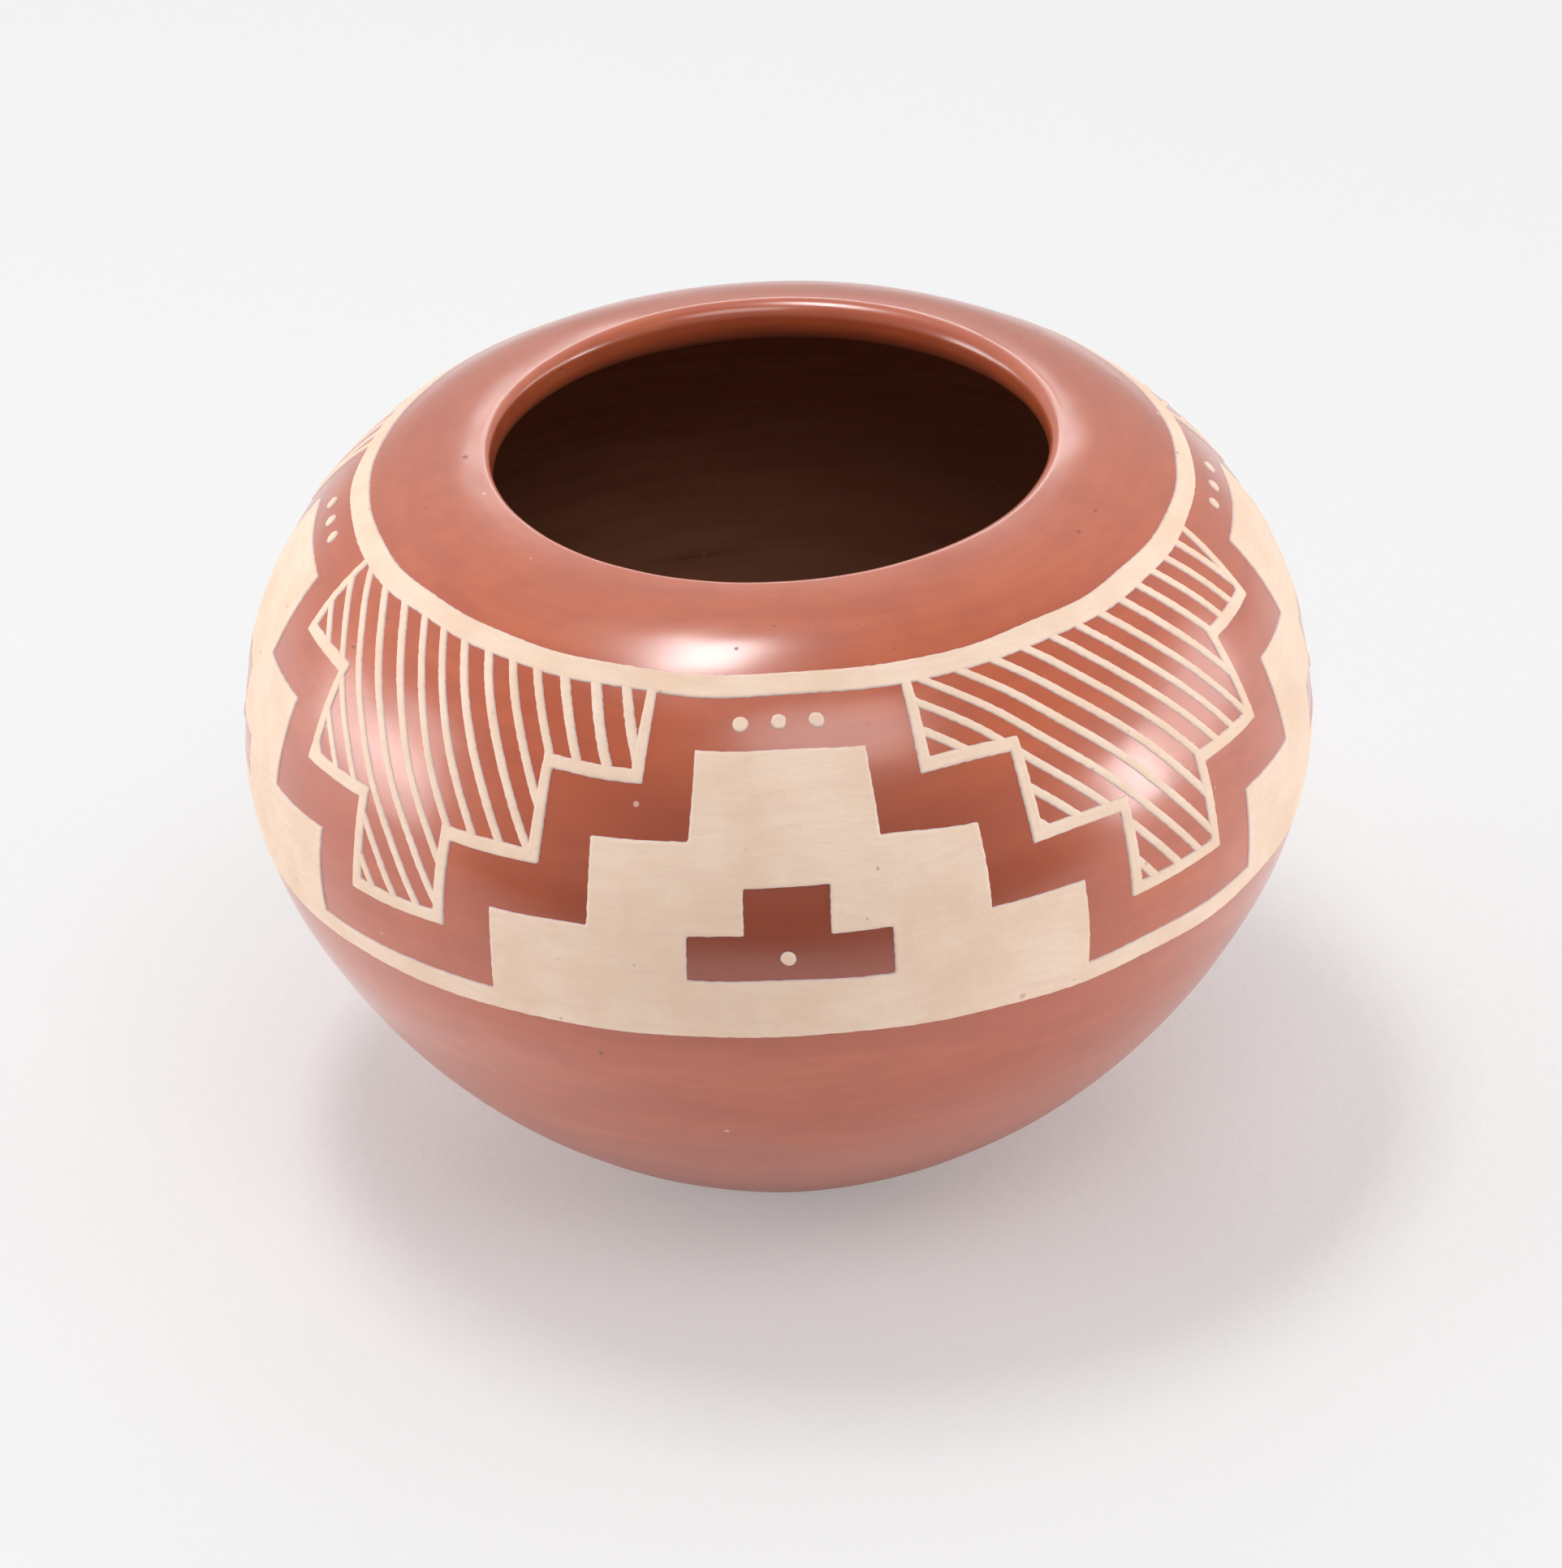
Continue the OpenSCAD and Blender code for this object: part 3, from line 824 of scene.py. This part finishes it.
rain_ways = (hatch_ends[2] - RAIN_END_ROOM, FIELD_HIGH + OVERLAP + ROOT_ROOM)
paint_pieces["rain_hatching"] = []
for number, middle in enumerate(hang_middles, start=1):
    reach = HATCHED[0] + RAIN_SIDE_ROOM
    paint_pieces["rain_hatching"].append(lay_paint(
        f"paint_rain_{number}", (middle - reach, middle + reach), rain_ways,
        by_hand(rain, middle), thick=PAINT * RAIN_SHARE))
print("paint faces:", {k: sum(len(p.data.polygons) for p in v) for k, v in paint_pieces.items()})

# %% [markdown]
# ## Shader arithmetic
# A finish is mostly sums: a streak plus a speck, times a mask. Wiring those by hand hides
# them, so a small class wraps a socket, and writing a + b between two of them adds the
# Math node. Every other node comes from one method.

# %% A socket that can be added and multiplied
class Wire:
    """An output socket of a finish. Arithmetic on it adds Math nodes."""

    def __init__(self, finish, socket):
        self.finish = finish
        self.socket = socket

    def math(self, operation, *values, clamp=False):
        settings = {"operation": operation, "use_clamp": clamp}
        return self.finish.node("ShaderNodeMath", settings, dict(enumerate(values)))

    def __add__(self, other):
        return self.math("ADD", self, other)

    __radd__ = __add__

    def __mul__(self, other):
        return self.math("MULTIPLY", self, other)

    __rmul__ = __mul__

    def __sub__(self, other):
        return self.math("SUBTRACT", self, other)

    def __rsub__(self, other):
        return self.math("SUBTRACT", other, self)

    def clamped(self):
        return self.math("ADD", self, 0.0, clamp=True)

    def between(self, low, high):
        """0 below low, 1 above high, and a smooth rise between them."""
        inputs = {"Value": self, "From Min": low, "From Max": high}
        return self.finish.node("ShaderNodeMapRange", {"interpolation_type": "SMOOTHSTEP"}, inputs)


# %% Nodes that are added one at a time
SMALLEST_SPECK, SPECK_SOFTNESS = 0.4, 0.5


class Finish:
    """The nodes of a material, or of the world."""

    def __init__(self, owner):
        self.owner = owner
        self.owner.use_nodes = True
        self.tree = self.owner.node_tree
        self.tree.nodes.clear()

    def node(self, kind, settings=None, inputs=None, output=0):
        """Adds a node: its settings first, then a value or a wire for each named socket."""
        made = self.tree.nodes.new(kind)
        for key, value in (settings or {}).items():
            setattr(made, key, value)
        for key, value in (inputs or {}).items():
            if isinstance(value, Wire):
                self.tree.links.new(value.socket, made.inputs[key])
            else:
                made.inputs[key].default_value = value
        return Wire(self, made.outputs[output]) if made.outputs else None

    def number(self, name):
        """A number that was kept with the mesh's points."""
        return self.node("ShaderNodeAttribute", {"attribute_name": name}, output="Fac")

    def place(self):
        """Where we are on the object, in metres."""
        return self.node("ShaderNodeTexCoord", output="Object")

    def apart(self, vector):
        """The three numbers in a vector."""
        node = self.node("ShaderNodeSeparateXYZ", inputs={0: vector}).socket.node
        return [Wire(self, node.outputs[i]) for i in range(3)]

    def stretched(self, upward, round_rate, upward_rate):
        """Where a noise is asked, so that it is long round the jar and short upwards."""
        x, y, _ = self.apart(self.place())
        inputs = {0: x * round_rate, 1: y * round_rate, 2: upward * upward_rate}
        return self.node("ShaderNodeCombineXYZ", inputs=inputs)

    def noise(self, vector, scale, detail, rough):
        """Values about 0.5 that wander: a higher scale gives smaller patches."""
        inputs = {"Vector": vector, "Scale": scale, "Detail": detail, "Roughness": rough}
        return self.node("ShaderNodeTexNoise", inputs=inputs)

    def specks(self, vector, scale, reach, share):
        """1 in small round specks: a share of a net's cells hold one, of up to this reach."""
        settings = {"feature": "F1"}
        inputs = {"Vector": vector, "Scale": scale}
        near = self.node("ShaderNodeTexVoronoi", settings, inputs, output="Distance")
        cell = self.node("ShaderNodeTexVoronoi", settings, inputs, output="Color")
        chance, size, _ = self.apart(cell)
        chosen = chance.math("LESS_THAN", chance, share)
        inside = 1 - near.math("DIVIDE", near, size * reach + reach * SMALLEST_SPECK)
        return inside.between(0.0, SPECK_SOFTNESS) * chosen

    def mixed(self, share, one, other):
        """A colour between two colours."""
        inputs = {0: share, 6: one, 7: other}
        return self.node("ShaderNodeMix", {"data_type": "RGBA"}, inputs, output=2)

    def bump(self, height, depth):
        """Tilts the surface by a relief; a height of 1 is this depth, in metres."""
        inputs = {"Strength": 1.0, "Distance": depth, "Height": height}
        return self.node("ShaderNodeBump", inputs=inputs)

    def surface(self, inputs):
        """Ends a material with one Principled shader."""
        shader = self.node("ShaderNodeBsdfPrincipled", inputs=inputs)
        self.node("ShaderNodeOutputMaterial", inputs={"Surface": shader})
        return self.owner


# %% Colours, and the start of a material
def finish_named(name):
    """The nodes of a new material."""
    return Finish(bpy.data.materials.new(name))


def tint(red, green, blue):
    """An sRGB colour, 0 to 255, as the linear numbers that a socket takes."""
    parts = [c / 255 for c in (red, green, blue)]
    linear = [p / 12.92 if p <= 0.04045 else ((p + 0.055) / 1.055) ** 2.4 for p in parts]
    return (*linear, 1.0)


print("middle grey, as a socket takes it:", round(tint(128, 128, 128)[0], 3))

# %% [markdown]
# ## The polished red
# Stone polishing closes the slip's surface but doesn't glaze it: each highlight has a soft
# haze round it, which a rough coat over a smoother slip gives. The colour wanders from
# brick to salmon where the slip is thinner, with short dabs from the last wiping. On the
# front of the belly, the side that faces the dim room, a deeper red is painted in as shade,
# and past the lip the slip is painted darker as shade inside the mouth. Tiny pits and pale
# grains break the gloss.
# The streaks have to run round the jar everywhere, also on the flat shoulder. A noise that
# is stretched with z would smear there, so the distance along the wall takes the place of
# z, and a slow sway in it keeps the streaks from closing into rings.
#
# In the recipe, between(low, high) says where in a noise's range a tone sets in and where
# it is full, and the factor after it says how much of that tone there is.

# %% Red slip finish
# Of these, the last red on the second line is a painted shade for the belly's front, and the first
# red on the third line is a painted shade for the inside of the mouth.
BRICK, SALMON, WARM_RED = tint(187, 84, 46), tint(196, 95, 58), tint(200, 97, 55)
WIPED_RED, HAIR_RED, FRONT_SHADE_RED = tint(178, 79, 46), tint(172, 76, 46), tint(146, 60, 31)
MOUTH_SHADE_RED, PALE_GRAIN, DARK_SPECK = tint(120, 58, 40), tint(226, 190, 168), tint(96, 44, 34)
RED_SWAY, RED_RELIEF = 0.006, 0.00003
# Where the painted shade on the belly's front sets in and fades out, and where the painted shade
# inside the mouth sets in.
BELLY_RISES, BELLY_FALLS = (-14 * MM, 6 * MM), (22 * MM, 44 * MM)
FRONT_RISES = (52 * MM, 70.5 * MM)
MOUTH_SHADE_RISES = ((LIP_WAY + 2.5) * MM, (LIP_WAY + 7.5) * MM)
POLISH, STREAK_ROUGH, SPECK_ROUGH = 0.19, 0.05, 0.3
COAT, COAT_ROUGH = 0.9, 0.33


def red_slip_finish():
    """Streaked, dabbed and clouded red, with a haze in its gloss, and painted shade on the belly's
    front and inside the mouth.
    """
    f = finish_named("polished_red_slip")
    way = f.number("way") * MM
    swayed = way + f.noise(f.place(), scale=26.0, detail=2.0, rough=0.5) * RED_SWAY
    streak = f.noise(f.stretched(swayed, 22, 110), scale=1.0, detail=2.0, rough=0.5)
    hair = f.noise(f.stretched(swayed, 60, 480), scale=1.0, detail=1.0, rough=0.5)
    dabs = f.noise(f.place(), scale=150.0, detail=3.0, rough=0.6)
    cloud = f.noise(f.stretched(way, 16, 34), scale=1.0, detail=3.0, rough=0.55)
    brick = f.mixed(cloud.between(0.35, 0.68), BRICK, SALMON)
    warm = f.mixed(streak.between(0.36, 0.68) * 0.8, brick, WARM_RED)
    brushed = f.mixed(dabs.between(0.4, 0.7) * 0.45, warm, WIPED_RED)
    toned = f.mixed(hair.between(0.35, 0.7) * 0.3, brushed, HAIR_RED)
    # Painted shade: the front of the belly is mixed towards a deeper red, for the side that faces
    # the dim room.
    belly = way.between(*BELLY_RISES) * (1 - way.between(*BELLY_FALLS))
    _, y, _ = f.apart(f.place())
    facing = (y * -1).between(*FRONT_RISES)
    front_shaded = f.mixed(belly * facing * 0.9, toned, FRONT_SHADE_RED)
    # Painted shade: past the lip, inside the mouth, the slip is mixed towards a darker red.
    mouth_shaded = f.mixed(way.between(*MOUTH_SHADE_RISES) * 0.4, front_shaded, MOUTH_SHADE_RED)
    pale = f.specks(f.place(), scale=330.0, reach=0.12, share=0.05)
    dark = f.specks(f.place(), scale=410.0, reach=0.16, share=0.08)
    pits = f.specks(f.place(), scale=1100.0, reach=0.22, share=0.05)
    grained = f.mixed(pale * 0.75, mouth_shaded, PALE_GRAIN)
    spotted = f.mixed(dark * 0.6, grained, DARK_SPECK)
    rough = POLISH + streak.between(0.3, 0.75) * STREAK_ROUGH + dark * SPECK_ROUGH
    relief = f.bump(streak * 0.5 + hair * 0.25 - dark * 1.2 - pits * 0.4, RED_RELIEF)
    return f.surface({"Base Color": spotted, "Roughness": rough, "Normal": relief,
                      "Specular IOR Level": 0.68, "Coat Weight": COAT,
                      "Coat Roughness": COAT_ROUGH})


red_finish = red_slip_finish()
print("the red has", len(red_finish.node_tree.nodes), "nodes")

# %% [markdown]
# ## The cream paint
# The paint is a matte white clay with a little warmth in it. Where the brush left it thin,
# along its edges, the red shows through it as a cool grey lilac, which is what makes the
# painting look drawn and not printed. The distance inside the edge was kept with each
# point of the paint, so that the finish can read how near the edge is.

# %% Cream slip finish
CREAM, SHADED_CREAM, BRUSH_MARK = tint(249, 222, 200), tint(243, 210, 184), tint(234, 205, 184)
LILAC_EDGE, BROWN_SPOT = tint(212, 194, 200), tint(176, 134, 104)
CREAM_SWAY, CREAM_RELIEF = 0.008, 0.00009
THIN_EDGE = (0.03, 0.2)


def cream_slip_finish():
    """Matte cream with brush marks, and the red showing through its edges."""
    f = finish_named("cream_slip_paint")
    way = f.number("way") * MM
    swayed = way + f.noise(f.place(), scale=45.0, detail=2.0, rough=0.5) * CREAM_SWAY
    brushed = f.noise(f.stretched(swayed, 120, 1100), scale=1.0, detail=3.0, rough=0.6)
    mottle = f.noise(f.place(), scale=95.0, detail=4.0, rough=0.6)
    grain = f.noise(f.place(), scale=2600.0, detail=2.0, rough=0.6)
    body = f.mixed(mottle.between(0.35, 0.7), CREAM, SHADED_CREAM)
    brushy = f.mixed(brushed.between(0.35, 0.75) * 0.38, body, BRUSH_MARK)
    thin = 1 - f.number("edge").between(*THIN_EDGE)
    edged = f.mixed(thin * 0.85, brushy, LILAC_EDGE)
    spots = f.specks(f.place(), scale=210.0, reach=0.14, share=0.05)
    pores = f.specks(f.place(), scale=620.0, reach=0.16, share=0.06)
    marked = f.mixed((spots + pores).clamped() * 0.5, edged, BROWN_SPOT)
    relief = f.bump(brushed * 0.9 + grain * 0.6 + mottle * 0.8 - pores * 0.8, CREAM_RELIEF)
    return f.surface({"Base Color": marked, "Roughness": 0.72, "Normal": relief,
                      "Specular IOR Level": 0.32})


cream_finish = cream_slip_finish()
print("the cream has", len(cream_finish.node_tree.nodes), "nodes")

# %% [markdown]
# ## The bare clay inside
# Inside, the clay is only scraped and wiped. It fired a dark brown, and very little light
# gets in, so it reads as nearly black. Plain black would look the same from here, but it
# still has its wiping marks for anyone who looks.

# %% Fired clay finish
BROWN, DARK_BROWN = tint(154, 102, 76), tint(146, 94, 70)
SMOKED_BROWN, PALE_GRIT = tint(130, 84, 62), tint(170, 132, 110)
CLAY_RELIEF = 0.00012


def fired_clay_finish():
    """Brown clay with wiping marks, smoke and coarse grains."""
    f = finish_named("wiped_fired_clay")
    _, _, z = f.apart(f.place())
    wiped = f.noise(f.stretched(z, 14, 420), scale=1.0, detail=4.0, rough=0.65)
    smoke = f.noise(f.place(), scale=38.0, detail=3.0, rough=0.5)
    temper = f.specks(f.place(), scale=420.0, reach=0.18, share=0.12)
    brown = f.mixed(wiped.between(0.3, 0.7), BROWN, DARK_BROWN)
    smoked = f.mixed(smoke.between(0.45, 0.75) * 0.4, brown, SMOKED_BROWN)
    gritty = f.mixed(temper * 0.3, smoked, PALE_GRIT)
    relief = f.bump(wiped * 0.8 + temper * 0.3, CLAY_RELIEF)
    return f.surface({"Base Color": gritty, "Roughness": 0.78, "Normal": relief,
                      "Specular IOR Level": 0.3})


clay_finish = fired_clay_finish()
print("the clay has", len(clay_finish.node_tree.nodes), "nodes")

# %% [markdown]
# ## Dressing the frame
# Nothing on a jar moves, so every piece rides on the one body. Each takes the place of the
# node that it was made after. The paint could be one long list of calls; the two
# dictionaries already say which pieces belong to which node.

# %% Dress each piece, and let it stand for its node
def dress(piece, finish, slot, *nodes):
    """Gives a piece its finish and its body, and hides the nodes it stands for. The slot is not
    used.
    """
    piece.data.materials.clear()
    piece.data.materials.append(finish)
    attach(piece, "root")
    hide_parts(*nodes)


dress(red_slip_coat, red_finish, "red_slip", "red_slip")
for node, piece in clay_pieces.items():
    dress(piece, clay_finish, "fired_clay", node)
for node, pieces in paint_pieces.items():
    for piece in pieces:
        dress(piece, cream_finish, "cream_slip", node)
print("nodes replaced:", 1 + len(clay_pieces) + len(paint_pieces))

# %% [markdown]
# ## The paper
# The jar stands on white paper. A plain white sheet would do, but two things in a studio
# would be missed. The paper there is lit from every side, so its shadows stay pale: here a
# part of what the camera sees of it glows, while the jar is still lit by the lamps alone.
# And the sheet ends: a reflection that would meet it far in front of the jar finds a dark
# room instead, which, with the painted shade on the belly's front, keeps the front of the
# polished belly deep.

# %% The paper
PAPER_SIDE = 8.0
PAPER_GLOW, PAPER_RELIEF = 0.29, 0.00014
PAPER_END, END_BEFORE, END_AFTER = 0.24, 0.06, 0.03
DARK_ROOM = 0.1
PAPER_WHITE, GLOW_WHITE, ROOM_WHITE = tint(241, 242, 243), tint(243, 243, 243), tint(250, 250, 250)


def paper_finish():
    """White paper that glows a little for the camera and ends for a reflection."""
    f = finish_named("white_paper")
    fibre = f.noise(f.place(), scale=520.0, detail=4.0, rough=0.6)
    relief = f.bump(fibre, PAPER_RELIEF)
    shaded = f.node("ShaderNodeBsdfDiffuse", inputs={"Color": PAPER_WHITE, "Normal": relief})
    glowing = f.node("ShaderNodeEmission", inputs={"Color": GLOW_WHITE, "Strength": 1.0})
    seen = f.node("ShaderNodeLightPath", output="Is Camera Ray")
    lit = f.node("ShaderNodeMixShader", inputs={0: seen * PAPER_GLOW, 1: shaded, 2: glowing})
    mirrored = f.node("ShaderNodeLightPath", output="Is Glossy Ray")
    _, depth, _ = f.apart(f.place())
    ended = mirrored * (1 - depth.between(-PAPER_END - END_BEFORE, -PAPER_END + END_AFTER))
    dark = f.node("ShaderNodeEmission", inputs={"Color": ROOM_WHITE, "Strength": DARK_ROOM})
    whole = f.node("ShaderNodeMixShader", inputs={0: ended, 1: lit, 2: dark})
    f.node("ShaderNodeOutputMaterial", inputs={"Surface": whole})
    return f.owner


half = PAPER_SIDE / 2 / MM
corners = [(-half, -half, 0), (half, -half, 0), (half, half, 0), (-half, half, 0)]
floor = new_object("paper_floor", corners, [(0, 1, 2, 3)])
floor.data.materials.append(paper_finish())
print("paper:", PAPER_SIDE, "m square")

# %% [markdown]
# ## The lamps
# A polished jar is a map of its lamps. The one overhead throws the short shadow, and a
# wide one high in front lays the soft highlight on the shoulder. A smaller lamp on each
# side puts a bright spot on the belly, and the two wall lamps behind them, wide but no
# higher than the belly, give the low sides their whitish sheen. A slim one behind draws
# the line on the lip's crest. Sun or spot lamps could give the same shadow, but a soft
# highlight needs a lamp with a size.

# %% The lamps
BELLY_HEIGHT = 0.06


def soft_lamp(name, azimuth, elevation, distance, size, power):
    """A lamp that faces the belly. Azimuth 0 is the front, 90 the right."""
    a, e = math.radians(azimuth), math.radians(elevation)
    place = Vector((math.sin(a) * math.cos(e), -math.cos(a) * math.cos(e), math.sin(e)))
    lamp = bpy.data.lights.new(name, "AREA")
    lamp.shape = "RECTANGLE"
    lamp.size, lamp.size_y = size
    lamp.energy = power
    holder = bpy.data.objects.new(name, lamp)
    holder.location = Vector((0, 0, BELLY_HEIGHT)) + place * distance
    holder.rotation_mode = "QUATERNION"
    holder.rotation_quaternion = (-place).to_track_quat("-Z", "Y")
    holder.visible_camera = False
    bpy.context.scene.collection.objects.link(holder)
    print(name, "at", [round(v, 2) for v in holder.location], "m,", power, "W")


soft_lamp("overhead_lamp", azimuth=-107, elevation=80, distance=1.1, size=(0.38, 0.19), power=3.7)
soft_lamp("front_top_lamp", azimuth=15, elevation=55, distance=1.3, size=(0.7, 0.5), power=3.1)
soft_lamp("right_lamp", azimuth=76, elevation=5, distance=1.2, size=(0.28, 0.34), power=2.8)
soft_lamp("left_lamp", azimuth=-88, elevation=16, distance=1.2, size=(0.38, 0.42), power=1.4)
soft_lamp("left_wall_lamp", azimuth=-95, elevation=5, distance=1.3, size=(0.9, 0.5), power=5.2)
soft_lamp("right_wall_lamp", azimuth=95, elevation=5, distance=1.3, size=(0.9, 0.5), power=3.3)
soft_lamp("back_lamp", azimuth=180, elevation=29, distance=1.3, size=(0.5, 0.16), power=1.1)

# %% [markdown]
# ## The room
# What isn't a lamp still shows in the slip. The room is palest high up behind the jar,
# where the shoulder mirrors it, less pale at the sides and dim behind the camera. One flat
# grey would be simpler, but then the shoulder and the belly couldn't both be right. The
# camera itself sees the room plain white.

# %% The pale room: bright behind and above, dim behind the camera
ROOM_DIM, ROOM_SIDES, ROOM_BACK, ROOM_HIGH_BACK = 0.34, 0.15, 0.22, 0.25
BACK_RISES, HIGH_RISES = (-0.3, 0.7), (0.15, 0.6)


def pale_room():
    """A world whose brightness follows the direction that is looked in."""
    f = Finish(bpy.data.worlds.new("pale_room"))
    aim = f.node("ShaderNodeTexCoord", output="Generated")
    side, depth, height = f.apart(aim)
    back = depth.between(*BACK_RISES)
    level = ROOM_DIM + side * side * ROOM_SIDES + back * ROOM_BACK
    light = level + back * height.between(*HIGH_RISES) * ROOM_HIGH_BACK
    seen = f.node("ShaderNodeLightPath", output="Is Camera Ray")
    strength = light + seen * (1 - light)
    glow = f.node("ShaderNodeBackground", inputs={"Color": ROOM_WHITE, "Strength": strength})
    f.node("ShaderNodeOutputWorld", inputs={"Surface": glow})
    return f.owner


bpy.context.scene.world = pale_room()
print("room brightness:", ROOM_DIM, "to", round(ROOM_DIM + ROOM_BACK + ROOM_HIGH_BACK, 2))

# %% [markdown]
# ## The camera
# The photograph was taken with a long lens from about a metre away, looking down by a good
# 31 degrees and rolled by less than three. The numbers below were fitted to the jar's
# outline, to both edges of its band and to its mouth. Euler angles could say the turn as
# well, but a matrix made of the three directions, right, up and forward, says plainly what
# each number does.

# %% The camera
TILT = math.radians(31.43)
ROLL = math.radians(2.675)
DISTANCE, AIM_Z = 1.0, 0.05
SIDE_STEP, LIFT = 0.000096, 0.001385
LENS_PX, LONG_SIDE_PX, SENSOR_MM = 9291.0, 1932.0, 36.0
right = Vector((1, 0, 0))
upright = Vector((0, math.sin(TILT), math.cos(TILT)))
forward = Vector((0, math.cos(TILT), -math.sin(TILT)))
camera_data = bpy.data.cameras.new("photo_camera")
camera_data.sensor_width = SENSOR_MM
camera_data.lens = LENS_PX / LONG_SIDE_PX * SENSOR_MM
camera_data.clip_start, camera_data.clip_end = 0.05, 20.0
camera = bpy.data.objects.new("photo_camera", camera_data)
rolled_right = right * math.cos(ROLL) - upright * math.sin(ROLL)
rolled_up = right * math.sin(ROLL) + upright * math.cos(ROLL)
axes = Matrix((rolled_right, rolled_up, -forward)).transposed()
place = Vector((0, 0, AIM_Z)) - forward * DISTANCE - right * SIDE_STEP - upright * LIFT
camera.matrix_world = Matrix.Translation(place) @ axes.to_4x4()
bpy.context.scene.collection.objects.link(camera)
bpy.context.scene.camera = camera
bpy.context.scene.view_settings.view_transform = "Standard"
print("lens:", round(camera_data.lens, 1), "mm, at", [round(v, 3) for v in place])
